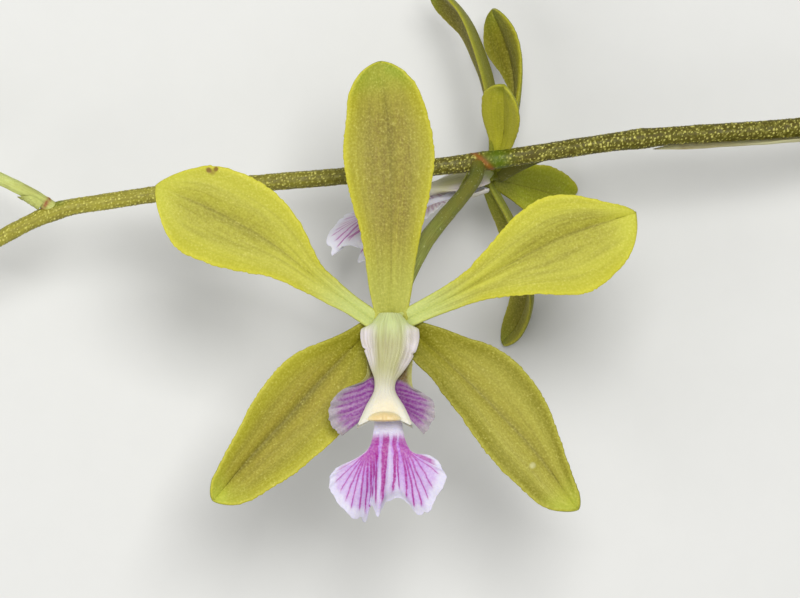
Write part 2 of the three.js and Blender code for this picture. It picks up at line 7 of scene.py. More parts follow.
import bpy
import numpy as np
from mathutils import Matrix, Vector


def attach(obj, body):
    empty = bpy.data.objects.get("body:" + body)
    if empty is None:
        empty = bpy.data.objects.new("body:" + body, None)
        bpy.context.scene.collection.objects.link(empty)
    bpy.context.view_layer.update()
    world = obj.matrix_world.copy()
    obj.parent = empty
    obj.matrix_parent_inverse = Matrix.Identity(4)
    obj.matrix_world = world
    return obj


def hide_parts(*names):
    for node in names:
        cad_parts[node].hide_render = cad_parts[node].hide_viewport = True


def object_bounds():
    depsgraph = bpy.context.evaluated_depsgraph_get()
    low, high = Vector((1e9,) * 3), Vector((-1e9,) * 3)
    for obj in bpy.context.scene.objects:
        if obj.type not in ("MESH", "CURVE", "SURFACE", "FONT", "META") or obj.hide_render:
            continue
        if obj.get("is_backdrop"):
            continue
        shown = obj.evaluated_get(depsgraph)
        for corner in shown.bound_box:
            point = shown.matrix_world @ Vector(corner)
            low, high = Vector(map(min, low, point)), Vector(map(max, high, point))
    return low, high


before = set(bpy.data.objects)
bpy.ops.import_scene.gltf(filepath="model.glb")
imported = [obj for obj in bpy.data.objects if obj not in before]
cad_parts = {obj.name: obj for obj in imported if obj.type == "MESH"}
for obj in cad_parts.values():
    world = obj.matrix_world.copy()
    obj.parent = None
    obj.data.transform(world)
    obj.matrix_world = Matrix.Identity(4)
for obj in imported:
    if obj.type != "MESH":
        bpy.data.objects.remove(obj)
LOG = logging.getLogger("orchid_stem")

# The design frame is in millimetres. Its origin is the middle of the photographed view.
FRAME_SHIFT = np.array([-4.9, -4.9, 0.0])
MM = 0.001

Array = np.ndarray
Colour = tuple[float, float, float]
Socket = bpy.types.NodeSocket


def through(values: Sequence, s: Array, stations: Optional[Sequence[float]] = None) -> Array:
    """A smooth value through given values.

    The curve is a cubic between each pair of stations, and its slope at a station is the
    slope from the station before to the one after.

    Args:
        values: Numbers, or points of three numbers.
        s: Where to read the curve, from 0 to 1.
        stations: Where each value stands. Even steps if left out.

    Returns:
        The value at each s, with one more axis of three for points.
    """
    v = np.asarray(values, float)
    count = len(v)
    s = np.asarray(s, float)
    if count == 1:
        return np.broadcast_to(v[0], s.shape + v.shape[1:]).copy()
    at = np.linspace(0, 1, count) if stations is None else np.asarray(stations, float)
    before = np.maximum(np.arange(count) - 1, 0)
    after = np.minimum(np.arange(count) + 1, count - 1)
    run = (at[after] - at[before]).reshape((-1,) + (1,) * (v.ndim - 1))
    slope = (v[after] - v[before]) / run
    i = np.clip(np.searchsorted(at, s, side="left") - 1, 0, count - 2)
    h = at[i + 1] - at[i]
    t = (s - at[i]) / h
    deep = s.shape + (1,) * (v.ndim - 1)
    h, t = h.reshape(deep), t.reshape(deep)
    here = 2 * t**3 - 3 * t**2 + 1
    return (
        here * v[i]
        + (1 - here) * v[i + 1]
        + (t**3 - 2 * t**2 + t) * h * slope[i]
        + (t**3 - t**2) * h * slope[i + 1]
    )


def unit(v: Array) -> Array:
    """Each vector at unit length."""
    return v / np.maximum(np.linalg.norm(v, axis=-1, keepdims=True), 1e-12)


def square_to(v: Array, direction: Array) -> Array:
    """The part of each vector that is square to a unit direction, at unit length."""
    return unit(v - (v * direction).sum(-1, keepdims=True) * direction)


def smooth_step(low: float, high: float, x: Array) -> Array:
    """0 below low, 1 above high, and an S-curve between. low may be above high."""
    t = np.clip((x - low) / (high - low), 0, 1)
    return t * t * (3 - 2 * t)


def wander(x: Array, scale: float, seed: int) -> Array:
    """A smooth random line: a random value at each whole step of x / scale, joined by S-curves.

    Args:
        x: Where to read the line.
        scale: The length of a step.
        seed: Which line.

    Returns:
        Values from -1 to 1.
    """
    table = np.random.default_rng(seed).uniform(-1, 1, 1024)
    p = x / scale
    i = np.floor(p).astype(int)
    t = p - i
    t = t * t * (3 - 2 * t)
    return table[i % 1024] * (1 - t) + table[(i + 1) % 1024] * t


@dataclass
class Path:
    """A smooth line through points, read by the share of its length.

    Attributes:
        points: The points, in millimetres.
    """

    points: Sequence[Sequence[float]]

    def at(self, s: Array) -> Array:
        """The point at each s."""
        run = np.cumsum([0, *np.linalg.norm(np.diff(self.points, axis=0), axis=1)])
        return through(self.points, s, run / run[-1])

    def forward(self, s: Array) -> Array:
        """The unit direction of travel at each s."""
        step = 1e-3
        return unit(self.at(np.minimum(s + step, 1)) - self.at(np.maximum(s - step, 0)))

    def length(self) -> float:
        """The line's length in millimetres."""
        return float(np.linalg.norm(np.diff(self.at(np.linspace(0, 1, 400)), axis=0), axis=1).sum())


@dataclass
class Skin:
    """A closed surface of triangles with values at its corners.

    Attributes:
        points: Corner positions in design millimetres, one row each.
        triangles: Corner numbers, three a row, facing out.
        values: Named numbers at the corners, which the materials read.
    """

    points: Array
    triangles: Array
    values: dict[str, Array]

    def welded(self, step: float = 2e-4) -> "Skin":
        """The same surface with corners that coincide made one, and without collapsed faces.

        Args:
            step: How close two corners are to be made one, in millimetres.

        Returns:
            The new surface.
        """
        keys = np.round(self.points / step).astype(np.int64)
        _, first, number = np.unique(keys, axis=0, return_index=True, return_inverse=True)
        tri = number.reshape(-1)[self.triangles]
        a, b, c = tri.T
        tri = tri[(a != b) & (b != c) & (c != a)]
        return Skin(self.points[first], tri, {k: v[first] for k, v in self.values.items()})

    def outward(self) -> "Skin":
        """The same surface, turned over if it encloses a negative volume.

        Returns:
            A surface whose faces look out.
        """
        p = self.points[self.triangles]
        volume = np.einsum("ij,ij->i", p[:, 0], np.cross(p[:, 1], p[:, 2])).sum()
        return self if volume > 0 else replace(self, triangles=self.triangles[:, ::-1])

    def moved(self, matrix: Array) -> "Skin":
        """The same surface, carried by a 4 by 4 matrix."""
        return replace(self, points=self.points @ matrix[:3, :3].T + matrix[:3, 3])

    @staticmethod
    def joined(skins: Sequence["Skin"]) -> "Skin":
        """Several surfaces as one.

        Args:
            skins: The surfaces.

        Returns:
            The new surface. A value that one of them lacks is 0 there.
        """
        names = sorted({k for skin in skins for k in skin.values})
        start, triangles = 0, []
        for skin in skins:
            triangles.append(skin.triangles + start)
            start += len(skin.points)
        values = {
            k: np.concatenate([skin.values.get(k, np.zeros(len(skin.points))) for skin in skins])
            for k in names
        }
        return Skin(np.concatenate([s.points for s in skins]), np.concatenate(triangles), values)


def grid_triangles(rows: int, columns: int, wrap: bool = False) -> Array:
    """The triangles of a grid of corners numbered row by row.

    Args:
        rows: How many rows of corners.
        columns: How many corners a row has.
        wrap: Whether the last column joins the first.

    Returns:
        Corner numbers, three a row.
    """
    i, j = np.meshgrid(np.arange(rows - 1), np.arange(columns if wrap else columns - 1), indexing="ij")
    k = (j + 1) % columns
    a, b = i * columns + j, i * columns + k
    c, d = (i + 1) * columns + k, (i + 1) * columns + j
    return np.concatenate([np.stack([a, b, c], -1).reshape(-1, 3), np.stack([a, c, d], -1).reshape(-1, 3)])


def grid_normal(p: Array) -> Array:
    """The unit normal at each point of a grid: across times along, from the neighbours.

    Args:
        p: The grid, rows by columns by 3.

    Returns:
        The normals. A row that is drawn together in one point takes the next row's.
    """
    across, along = np.empty_like(p), np.empty_like(p)
    across[:, 1:-1] = p[:, 2:] - p[:, :-2]
    across[:, 0], across[:, -1] = p[:, 1] - p[:, 0], p[:, -1] - p[:, -2]
    along[1:-1] = p[2:] - p[:-2]
    along[0], along[-1] = p[1] - p[0], p[-1] - p[-2]
    normal = np.cross(across, along)
    thin = np.linalg.norm(normal, axis=-1) < 1e-9
    normal[-1] = np.where(thin[-1][:, None], normal[-2], normal[-1])
    normal[0] = np.where(thin[0][:, None], normal[1], normal[0])
    return unit(normal)


def leaf_skin(p: Array, half: Array, values: dict[str, Array], relief: Optional[Array] = None) -> Skin:
    """A closed leaf over a grid: each point moved both ways along its normal by the half-thickness.

    Args:
        p: The middle surface, rows by columns by 3. Rows run along it.
        half: The half-thickness at each point. It is 0 on the rim, where the sides meet.
        values: Named numbers for the materials, which fit the grid.
        relief: A height added to the upper side only.

    Returns:
        The closed surface. Its value "under" is 1 on the lower side.
    """
    rows, columns = p.shape[:2]
    normal = grid_normal(p)
    rim = np.ones((rows, columns), bool)
    rim[1:-1, 1:-1] = False
    half = np.where(rim, 0, half)
    raised = half if relief is None else half + np.where(rim, 0, relief)
    top = (p + normal * raised[..., None]).reshape(-1, 3)
    bottom = (p - normal * half[..., None]).reshape(-1, 3)
    tri = grid_triangles(rows, columns)
    both = np.concatenate([tri, tri[:, ::-1] + rows * columns])
    held = {k: np.tile(np.broadcast_to(v, (rows, columns)).ravel(), 2) for k, v in values.items()}
    held["under"] = np.concatenate([np.zeros(rows * columns), np.where(rim.reshape(-1), 0.5, 1)])
    return Skin(np.concatenate([top, bottom]), both, held).welded().outward()


def tube_skin(grid: Array, ends: Array, values: dict[str, Array]) -> Skin:
    """A closed tube of rings, with a fan of triangles to a middle point at each end.

    Args:
        grid: The rings' points, rings by angles by 3.
        ends: The first and the last middle point.
        values: Named numbers for the materials, which fit the rings and angles.

    Returns:
        The closed surface. The value at an end's middle is its ring's mean.
    """
    rows, columns = grid.shape[:2]
    j = np.arange(columns)
    k = (j + 1) % columns
    middle, last = np.full(columns, rows * columns), (rows - 1) * columns
    lids = [np.stack([middle, k, j], -1), np.stack([middle + 1, last + j, last + k], -1)]
    tri = np.concatenate([grid_triangles(rows, columns, wrap=True), *lids])
    full = {k: np.broadcast_to(v, (rows, columns)) for k, v in values.items()}
    held = {k: np.concatenate([v.ravel(), [v[0].mean(), v[-1].mean()]]) for k, v in full.items()}
    return Skin(np.concatenate([grid.reshape(-1, 3), ends]), tri, held).outward()


def limb_skin(
    path: Path,
    s: Array,
    angle: Array,
    width: Array,
    depth: Array,
    values: dict[str, Array],
    reach: float | Array = 0.0,
) -> Skin:
    """A closed limb: an oval ring carried along a path, with a point at each end's middle.

    A ring's point is the path's point, plus the sideways axis times width times the cosine
    of its angle, plus the upward axis times depth times the sine, plus reach forward.

    Args:
        path: The limb's centreline.
        s: Where each ring stands.
        angle: Where each point of a ring stands, in radians.
        width: The half-width at each ring and angle.
        depth: The half-depth at each ring and angle.
        values: Named numbers for the materials, which fit the rings and angles.
        reach: How far forward of its ring each point stands.

    Returns:
        The closed surface.
    """
    centre = path.at(s)
    forward = path.forward(s)
    up = square_to(np.array([0.0, 0.0, 1.0]), forward)
    side = np.cross(forward, up)
    grid = centre[:, None] + side[:, None] * (np.cos(angle) * width)[..., None]
    grid = grid + up[:, None] * (np.sin(angle) * depth)[..., None]
    grid = grid + forward[:, None] * (0 * angle + reach)[..., None]
    return tube_skin(grid, np.stack([centre[0], centre[-1]]), values)


def flower_frame(
    centre: Sequence[float],
    size: float = 1.0,
    up: Sequence[float] = (0, 1, 0),
    face: Sequence[float] = (0, 0, 1),
) -> Array:
    """The matrix that carries a flower's own frame to the design frame.

    Args:
        centre: Where the flower's hub is.
        size: Its scale.
        up: The way its dorsal side points.
        face: The way it looks.

    Returns:
        A 4 by 4 matrix.
    """
    y = unit(np.asarray(up, float))
    z = square_to(np.asarray(face, float), y)
    matrix = np.eye(4)
    matrix[:3, 0], matrix[:3, 1], matrix[:3, 2] = np.cross(y, z) * size, y * size, z * size
    matrix[:3, 3] = centre
    return matrix


def mesh_object(name: str, skin: Skin) -> bpy.types.Object:
    """A Blender object at the origin, with the skin's corners in row metres.

    Args:
        name: The object's name.
        skin: The surface, in design millimetres.

    Returns:
        The new object, shaded smooth, with the skin's values as attributes.
    """
    mesh = bpy.data.meshes.new(name)
    points = ((skin.points + FRAME_SHIFT) * MM).astype(np.float32)
    tri = skin.triangles.astype(np.int32)
    mesh.vertices.add(len(points))
    mesh.vertices.foreach_set("co", points.ravel())
    mesh.loops.add(tri.size)
    mesh.loops.foreach_set("vertex_index", tri.ravel())
    mesh.polygons.add(len(tri))
    mesh.polygons.foreach_set("loop_start", np.arange(0, tri.size, 3, dtype=np.int32))
    mesh.polygons.foreach_set("use_smooth", np.ones(len(tri), bool))
    for key, value in skin.values.items():
        mesh.attributes.new(key, "FLOAT", "POINT").data.foreach_set("value", value.astype(np.float32))
    mesh.update(calc_edges=True)
    mesh.validate()
    made = bpy.data.objects.new(name, mesh)
    bpy.context.scene.collection.objects.link(made)
    return made


def srgb(red: float, green: float, blue: float) -> Colour:
    """A screen colour of 0 to 255 as linear light."""
    c = np.array([red, green, blue]) / 255
    return tuple(float(x) for x in np.where(c <= 0.04045, c / 12.92, ((c + 0.055) / 1.055) ** 2.4))


class Graph:
    """A node tree under construction, with a short call for each kind of node."""

    def __init__(self, tree: bpy.types.NodeTree) -> None:
        """Starts an empty graph in a tree."""
        self.tree = tree
        tree.nodes.clear()

    def add(
        self, kind: str, inputs: Optional[dict[str | int, object]] = None, **settings: object
    ) -> bpy.types.Node:
        """A new node.

        Args:
            kind: Its type.
            inputs: A value or a link for each input that is fed, by name or number.
            settings: The node's own settings, which are made first.

        Returns:
            The node.
        """
        made = self.tree.nodes.new(kind)
        for key, value in settings.items():
            setattr(made, key, value)
        for key, value in (inputs or {}).items():
            self.feed(made.inputs[key], value)
        return made

    def feed(self, socket: Socket, value: object) -> None:
        """Links a socket to another, or sets its own value.

        Args:
            socket: The input.
            value: An output to link to, or a number, a vector or a colour of three numbers.
        """
        if isinstance(value, bpy.types.NodeSocket):
            self.tree.links.new(value, socket)
        elif isinstance(value, tuple) and len(value) == 3 and socket.type == "RGBA":
            socket.default_value = (*value, 1.0)
        else:
            socket.default_value = value

    def value(self, name: str) -> Socket:
        """A corner value of the mesh."""
        return self.add("ShaderNodeAttribute", attribute_name=name).outputs["Fac"]

    def place(self) -> Socket:
        """The object's own coordinates, in metres."""
        return self.add("ShaderNodeTexCoord").outputs["Object"]

    def point(self, x: object, y: object, z: object = 0.0) -> Socket:
        """A vector from three values."""
        return self.add("ShaderNodeCombineXYZ", {0: x, 1: y, 2: z}).outputs[0]

    def noise(self, at: Socket, scale: object, detail: float = 2.0, rough: float = 0.5) -> Socket:
        """Cloudy noise from 0 to 1."""
        fed = {"Vector": at, "Scale": scale, "Detail": detail, "Roughness": rough}
        return self.add("ShaderNodeTexNoise", fed).outputs["Fac"]

    def cells(self, at: Socket, scale: object) -> Socket:
        """The distance to the nearest of many scattered points."""
        return self.add("ShaderNodeTexVoronoi", {"Vector": at, "Scale": scale}).outputs["Distance"]

    def math(self, kind: str, a: object, b: object = 0.0) -> Socket:
        """One step of reckoning with one or two values."""
        return self.add("ShaderNodeMath", {0: a, 1: b}, operation=kind).outputs[0]

    def times(self, *factors: object) -> Socket:
        """The product of two or more values."""
        return reduce(partial(self.math, "MULTIPLY"), factors)

    def band(self, x: Socket, low: float, high: float) -> Socket:
        """An S-curve from 0 at low to 1 at high.

        Args:
            x: The value.
            low: Where the curve is 0. It may be above high.
            high: Where it is 1.

        Returns:
            The curve's value.
        """
        fed = {"Value": x, "From Min": min(low, high), "From Max": max(low, high)}
        fed.update({"To Min": float(low > high), "To Max": float(low <= high)})
        return self.add("ShaderNodeMapRange", fed, interpolation_type="SMOOTHSTEP").outputs["Result"]

    def mix(self, share: object, a: object, b: object, blend: str = "MIX") -> Socket:
        """A blend of two colours by a share from 0 to 1."""
        fed = {0: share, 6: a, 7: b}
        return self.add("ShaderNodeMix", fed, data_type="RGBA", blend_type=blend).outputs[2]

    def layers(self, ground: object, *layers: tuple[object, object]) -> Socket:
        """A ground colour with others laid over it in turn, each by its share from 0 to 1."""
        return reduce(lambda made, layer: self.mix(layer[0], made, layer[1]), layers, ground)

    def lerp(self, share: object, a: float, b: float) -> Socket:
        """A number from a, at share 0, to b, at share 1."""
        fed = {0: share, 1: b - a, 2: a}
        return self.add("ShaderNodeMath", fed, operation="MULTIPLY_ADD").outputs[0]

    def bump(self, height: Socket, depth: float, strength: float) -> Socket:
        """A normal bent by a height, whose full range is depth metres."""
        fed = {"Height": height, "Distance": depth, "Strength": strength}
        return self.add("ShaderNodeBump", fed).outputs["Normal"]

    def effect(self, group: bpy.types.NodeTree, **inputs: object) -> dict[str, Socket]:
        """Places a shared effect and feeds its inputs.

        Args:
            group: The effect's node group.
            inputs: A value or a link for each named input.

        Returns:
            The effect's outputs by name.
        """
        made = self.add("ShaderNodeGroup", inputs, node_tree=group)
        return {socket.name: socket for socket in made.outputs}

    def shade(
        self,
        colour: Socket,
        rough: object,
        normal: Optional[Socket] = None,
        flesh: float = 0.0,
        gloss: float = 0.25,
    ) -> None:
        """Ends the graph in its shader.

        Args:
            colour: The base colour.
            rough: The roughness, a number or a link.
            normal: The bent normal, if any.
            flesh: How much light passes under the skin.
            gloss: How strongly the surface reflects.
        """
        fed = {
            "Base Color": colour,
            "Roughness": rough,
            "Subsurface Weight": flesh,
            "Subsurface Scale": 0.0006,
            "Subsurface Radius": (1.0, 0.8, 0.3),
            "Specular IOR Level": gloss,
        }
        if normal is not None:
            fed["Normal"] = normal
        shader = self.add("ShaderNodeBsdfPrincipled", fed)
        self.add("ShaderNodeOutputMaterial", {"Surface": shader.outputs[0]})


def effect_group(
    name: str,
    inputs: dict[str, float | str],
    outputs: Sequence[str],
    build: Callable[["Graph", dict[str, Socket]], dict[str, Socket]],
) -> bpy.types.NodeTree:
    """A shared effect, built once.

    Args:
        name: The group's name.
        inputs: Each input's default number, or "vector" for a vector.
        outputs: The names of its outputs, all numbers.
        build: Makes the nodes from the graph and the inputs, and returns the outputs by name.

    Returns:
        The node group.
    """
    found = bpy.data.node_groups.get(name)
    if found:
        return found
    tree = bpy.data.node_groups.new(name, "ShaderNodeTree")
    for key, value in inputs.items():
        kind = "NodeSocketVector" if value == "vector" else "NodeSocketFloat"
        socket = tree.interface.new_socket(key, in_out="INPUT", socket_type=kind)
        if value != "vector":
            socket.default_value = value
    for key in outputs:
        tree.interface.new_socket(key, in_out="OUTPUT", socket_type="NodeSocketFloat")
    graph = Graph(tree)
    source = graph.add("NodeGroupInput")
    made = build(graph, {socket.name: socket for socket in source.outputs if socket.name})
    graph.add("NodeGroupOutput", made)
    return tree


def papillae() -> bpy.types.NodeTree:
    """The minute bead-like skin of a petal: domes at scattered points, with painted highlights on some of
    them.

    Returns:
        The node group.
    """

    def build(graph: Graph, given: dict[str, Socket]) -> dict[str, Socket]:
        """Domes fall away from scattered points, and the painted highlights are where noise peaks.

        Args:
            graph: The group's graph.
            given: The group's inputs.

        Returns:
            The group's outputs.
        """
        near = graph.cells(given["At"], given["Scale"])
        dome = graph.band(near, 0.55, 0.05)
        patch = graph.noise(given["At"], 900.0, 2.0)
        fine = graph.noise(given["At"], 5200.0, 2.0)
        # The mask of painted highlights: where the fine noise peaks inside brighter patches.
        painted_glint = graph.times(graph.band(fine, 0.6, 0.74), graph.band(patch, 0.42, 0.62))
        height = graph.times(dome, graph.lerp(patch, 0.5, 1.0))
        return {"Height": height, "PaintedGlint": painted_glint, "Grain": fine}

    return effect_group("papillae", {"At": "vector", "Scale": 6000.0}, ["Height", "PaintedGlint", "Grain"], build)


def streaks() -> bpy.types.NodeTree:
    """Fine lines that run along a blade: noise squeezed across it and drawn out along it.

    Returns:
        The node group.
    """

    def build(graph: Graph, given: dict[str, Socket]) -> dict[str, Socket]:
        """Noise at (across times density, along times stretch), once broad and once fine.

        Args:
            graph: The group's graph.
            given: The group's inputs.

        Returns:
            The group's outputs.
        """
        wide = graph.point(
            graph.times(given["Across"], given["Density"]),
            graph.times(given["Along"], given["Stretch"]),
            given["Seed"],
        )
        broad = graph.noise(wide, 1.0, 2.0, 0.55)
        fine = graph.noise(wide, 3.1, 2.0, 0.6)
        return {"Broad": graph.band(broad, 0.38, 0.68), "Fine": graph.band(fine, 0.35, 0.7)}

    given = {"Across": 0.0, "Along": 0.0, "Density": 6.0, "Stretch": 2.0, "Seed": 0.0}
    return effect_group("streaks", given, ["Broad", "Fine"], build)


def mottle() -> bpy.types.NodeTree:
    """Soft blotches of two sizes.

    Returns:
        The node group.
    """

    def build(graph: Graph, given: dict[str, Socket]) -> dict[str, Socket]:
        """Noise at the given scale, and at five times it.

        Args:
            graph: The group's graph.
            given: The group's inputs.

        Returns:
            The group's outputs.
        """
        broad = graph.noise(given["At"], given["Scale"], 3.0)
        fine = graph.noise(given["At"], graph.times(given["Scale"], 5.0), 3.0, 0.6)
        return {"Broad": graph.band(broad, 0.35, 0.65), "Fine": graph.band(fine, 0.35, 0.65)}

    return effect_group("mottle", {"At": "vector", "Scale": 300.0}, ["Broad", "Fine"], build)


@dataclass(frozen=True)
class Finish:
    """A look that is built from its own colours and numbers.

    Attributes:
        name: The material's name.
    """

    name: str

    def paint(self, g: Graph) -> None:
        """Builds the look in an empty graph. Each kind of finish has its own."""
        raise NotImplementedError

    def material(self) -> bpy.types.Material:
        """A new material with this look.

        Returns:
            The material.
        """
        made = bpy.data.materials.new(self.name)
        made.use_nodes = True
        self.paint(Graph(made.node_tree))
        LOG.info("finish %s", self.name)
        return made


@dataclass(frozen=True)
class TepalFinish(Finish):
    """The skin of a sepal or petal.

    Attributes:
        field: The colour of the open blade.
        margin: The colour near the edges.
        edge: The colour of the very edge.
        claw: The colour of the narrow foot. For the lateral sepals it is dark olive: painted shade that the
            petals cast near the hub.
        apex: The colour of the tip.
        blush: The tan flush along the middle.
        blush_from: Where the flush begins and is full, along the blade.
        blush_to: Where it starts to fade and ends.
        blush_half: How far across it reaches, from 0 to 1.
        blush_share: How strong it is.
        vein: The colour of the lines along the blade.
        vein_share: How strong they are.
        density: How many lines there are across the blade.
        crease: How dark the painted shade in the midrib's groove is.
        warm: The colour that the fine grain is lightened with.
        painted_glint: The colour of painted highlights on some of the beads.
        blister: The pale colour of a small raised blister, which also paints its highlight.
        spot: The colour of a brown mark.
        back: What the lower side is toned with.
        seed: Sets the pattern.
    """

    field: Colour = srgb(150, 144, 47)
    margin: Colour = srgb(150, 144, 26)
    edge: Colour = srgb(182, 176, 46)
    claw: Colour = srgb(154, 155, 64)
    apex: Colour = srgb(126, 142, 32)
    blush: Colour = srgb(112, 95, 35)
    blush_from: tuple[float, float] = (0.15, 0.4)
    blush_to: tuple[float, float] = (0.74, 0.97)
    blush_half: float = 0.85
    blush_share: float = 0.9
    vein: Colour = srgb(98, 90, 20)
    vein_share: float = 0.26
    density: float = 7.0
    crease: float = 0.15
    warm: Colour = (0.7, 0.62, 0.12)
    painted_glint: Colour = srgb(214, 208, 124)
    blister: Colour = srgb(190, 188, 140)
    spot: Colour = srgb(104, 58, 22)
    back: Colour = srgb(118, 124, 40)
    seed: float = 0.0

    def paint(self, g: Graph) -> None:
        """The blade: field, margin, claw and tip by place, then flush, lines, beads and marks.

        Args:
            g: The material\'s empty graph.
        """
        along, across = g.value("along"), g.value("across")
        out = g.math("ABSOLUTE", across)
        at = g.place()
        beads = g.effect(papillae(), At=at, Scale=5200.0)
        blotch = g.effect(mottle(), At=at, Scale=420.0)
        lines = g.effect(streaks(), Across=across, Along=along, Density=self.density, Seed=self.seed)
        flush = g.times(
            g.band(along, *self.blush_from),
            g.band(along, *reversed(self.blush_to)),
            g.band(out, self.blush_half + 0.12, self.blush_half * 0.3),
            g.lerp(blotch["Fine"], 0.6, 1.0),
            g.lerp(lines["Fine"], 0.72, 1.0),
            self.blush_share,
        )
        inner = g.times(g.band(out, 0.95, 0.6), g.band(along, 0.02, 0.2), g.band(along, 0.98, 0.8))
        colour = g.layers(
            self.field,
            (g.band(out, 0.45, 0.9), self.margin),
            (g.band(along, 0.34, 0.06), self.claw),
            (g.times(g.band(along, 0.84, 1.0), g.lerp(blotch["Broad"], 0.5, 1.0)), self.apex),
            (flush, self.blush),
            (g.times(lines["Broad"], inner, self.vein_share), self.vein),
            # Painted shade along the midrib's groove.
            (g.times(g.band(out, 0.26, 0.0), inner, self.crease), self.vein),
            (g.times(g.band(out, 0.05, 0.015), inner, 0.35), self.vein),
            (g.times(g.band(out, 0.86, 0.99), g.lerp(g.band(along, 0.1, 0.45), 0.2, 0.7)), self.edge),
        )
        mark = g.value("mark")
        colour = g.layers(
            colour,
            (g.times(g.band(beads["Grain"], 0.35, 0.75), 0.3), g.mix(0.5, colour, self.warm, "SCREEN")),
            # Painted highlights on some of the beads.
            (g.times(beads["PaintedGlint"], 0.2), self.painted_glint),
            # A pale raised blister; its paleness also paints the blister's highlight.
            (g.times(g.band(mark, 0.2, 0.8), 0.6), self.blister),
            (g.times(g.band(mark, -0.2, -0.8), 0.8), self.spot),
            (g.times(g.value("under"), 0.55), self.back),
        )
        height = g.math("ADD", g.times(beads["Height"], 0.5), g.times(lines["Fine"], 0.35))
        normal = g.bump(height, 0.00005, 0.6)
        g.shade(colour, g.lerp(beads["Grain"], 0.68, 0.42), normal, flesh=0.1, gloss=0.22)


@dataclass(frozen=True)
class LipFinish(Finish):
    """The lip's white ground, lilac wash and magenta veins.

    Attributes:
        white: The ground colour.
        wash: The wash between the veins.
        vein: The strong stripes of the middle lobe.
        ear_white: The ground of the side lobes.
        ear_wash: The wash of the side lobes.
        faint: The veins of the side lobes.
        wall: The shaded foot of the side lobes.
        bar: The edge of that foot.
        glow: The colour that the fine grain is lightened with.
    """

    white: Colour = srgb(194, 190, 208)
    wash: Colour = srgb(160, 84, 184)
    vein: Colour = srgb(146, 6, 124)
    ear_white: Colour = srgb(146, 136, 144)
    ear_wash: Colour = srgb(134, 66, 138)
    faint: Colour = srgb(118, 38, 124)
    wall: Colour = srgb(112, 92, 50)
    bar: Colour = srgb(172, 170, 98)
    glow: Colour = (1.0, 1.0, 1.0)

    def stripe(self, g: Graph, lane: Socket, gain: Socket, soft: float) -> Socket:
        """1 where the distance from the lane to a whole number, times the gain, is under 1."""
        off = g.math("ABSOLUTE", g.math("SUBTRACT", lane, g.math("ROUND", lane)))
        return g.band(g.times(off, gain), 1.0 + soft, 1.0 - soft)

    def paint(self, g: Graph) -> None:
        """The lip. Corner values wash, ink, ear, wall and bar say where each colour lies.

        Args:
            g: The material\'s empty graph.
        """
        at = g.place()
        wash, ink, ear, wall, bar = (g.value(k) for k in ("wash", "ink", "ear", "wall", "bar"))
        stray = g.times(g.math("SUBTRACT", g.noise(at, 1100.0, 2.0), 0.5), 0.3)
        lane, gain = g.math("ADD", g.value("lane"), stray), g.value("gain")
        beads = g.effect(papillae(), At=at, Scale=7000.0)
        blotch = g.effect(mottle(), At=at, Scale=700.0)
        tint = g.mix(ear, self.wash, self.ear_wash)
        sharp = g.times(self.stripe(g, lane, gain, 0.35), ink, g.lerp(blotch["Fine"], 0.86, 1.0))
        colour = g.layers(
            g.mix(ear, self.white, self.ear_white),
            (g.times(wash, g.lerp(blotch["Fine"], 0.7, 1.0)), tint),
            (g.times(self.stripe(g, lane, g.times(gain, 0.42), 0.8), ink, 0.4), tint),
            (sharp, g.mix(ear, self.vein, self.faint)),
            (wall, g.mix(bar, self.wall, self.bar)),
            (g.times(g.band(beads["Grain"], 0.35, 0.7), 0.07), self.glow),
        )
        normal = g.bump(beads["Height"], 0.00003, 0.6)
        g.shade(colour, g.lerp(beads["Grain"], 0.55, 0.35), normal, flesh=0.18)


@dataclass(frozen=True)
class ColumnFinish(Finish):
    """The column's waxy cream, green at the foot and white at the wings.

    Attributes:
        foot: The colour at the foot.
        middle: The colour half way.
        end: The colour of the free end.
        flank: The colour of the flanges.
        line: The colour of the fine lines along it.
        brow: The warm cream above the cap.
        wing_tip_shade: Painted shade on the lower side of the wing tips.
    """

    foot: Colour = srgb(180, 190, 130)
    middle: Colour = srgb(164, 162, 114)
    end: Colour = srgb(204, 200, 184)
    flank: Colour = srgb(204, 196, 200)
    line: Colour = srgb(122, 110, 70)
    brow: Colour = srgb(212, 196, 150)
    wing_tip_shade: Colour = srgb(92, 82, 70)

    def paint(self, g: Graph) -> None:
        """The column: three colours along it, with fine lines and painted shade under the wing tips.

        Args:
            g: The material\'s empty graph.
        """
        along, at = g.value("along"), g.place()
        beads = g.effect(papillae(), At=at, Scale=6000.0)
        blotch = g.effect(mottle(), At=at, Scale=600.0)
        lines = g.effect(
            streaks(), Across=g.value("across"), Along=along, Density=9.0, Stretch=1.2, Seed=3.0
        )
        colour = g.layers(
            self.foot,
            (g.band(along, 0.08, 0.34), self.middle),
            (g.band(along, 0.5, 0.86), self.end),
            (g.times(g.value("flank"), g.lerp(blotch["Broad"], 0.8, 1.0)), self.flank),
            (g.times(lines["Fine"], g.band(along, 0.8, 0.4), 0.34), self.line),
            (g.times(g.band(along, 0.8, 0.97), g.value("brow"), 0.5), self.brow),
            # Painted shade under the wing tips.
            (g.times(g.value("hook"), 0.75), self.wing_tip_shade),
        )
        normal = g.bump(g.math("ADD", beads["Height"], lines["Fine"]), 0.00003, 0.5)
        g.shade(colour, g.lerp(beads["Grain"], 0.5, 0.3), normal, flesh=0.18, gloss=0.3)


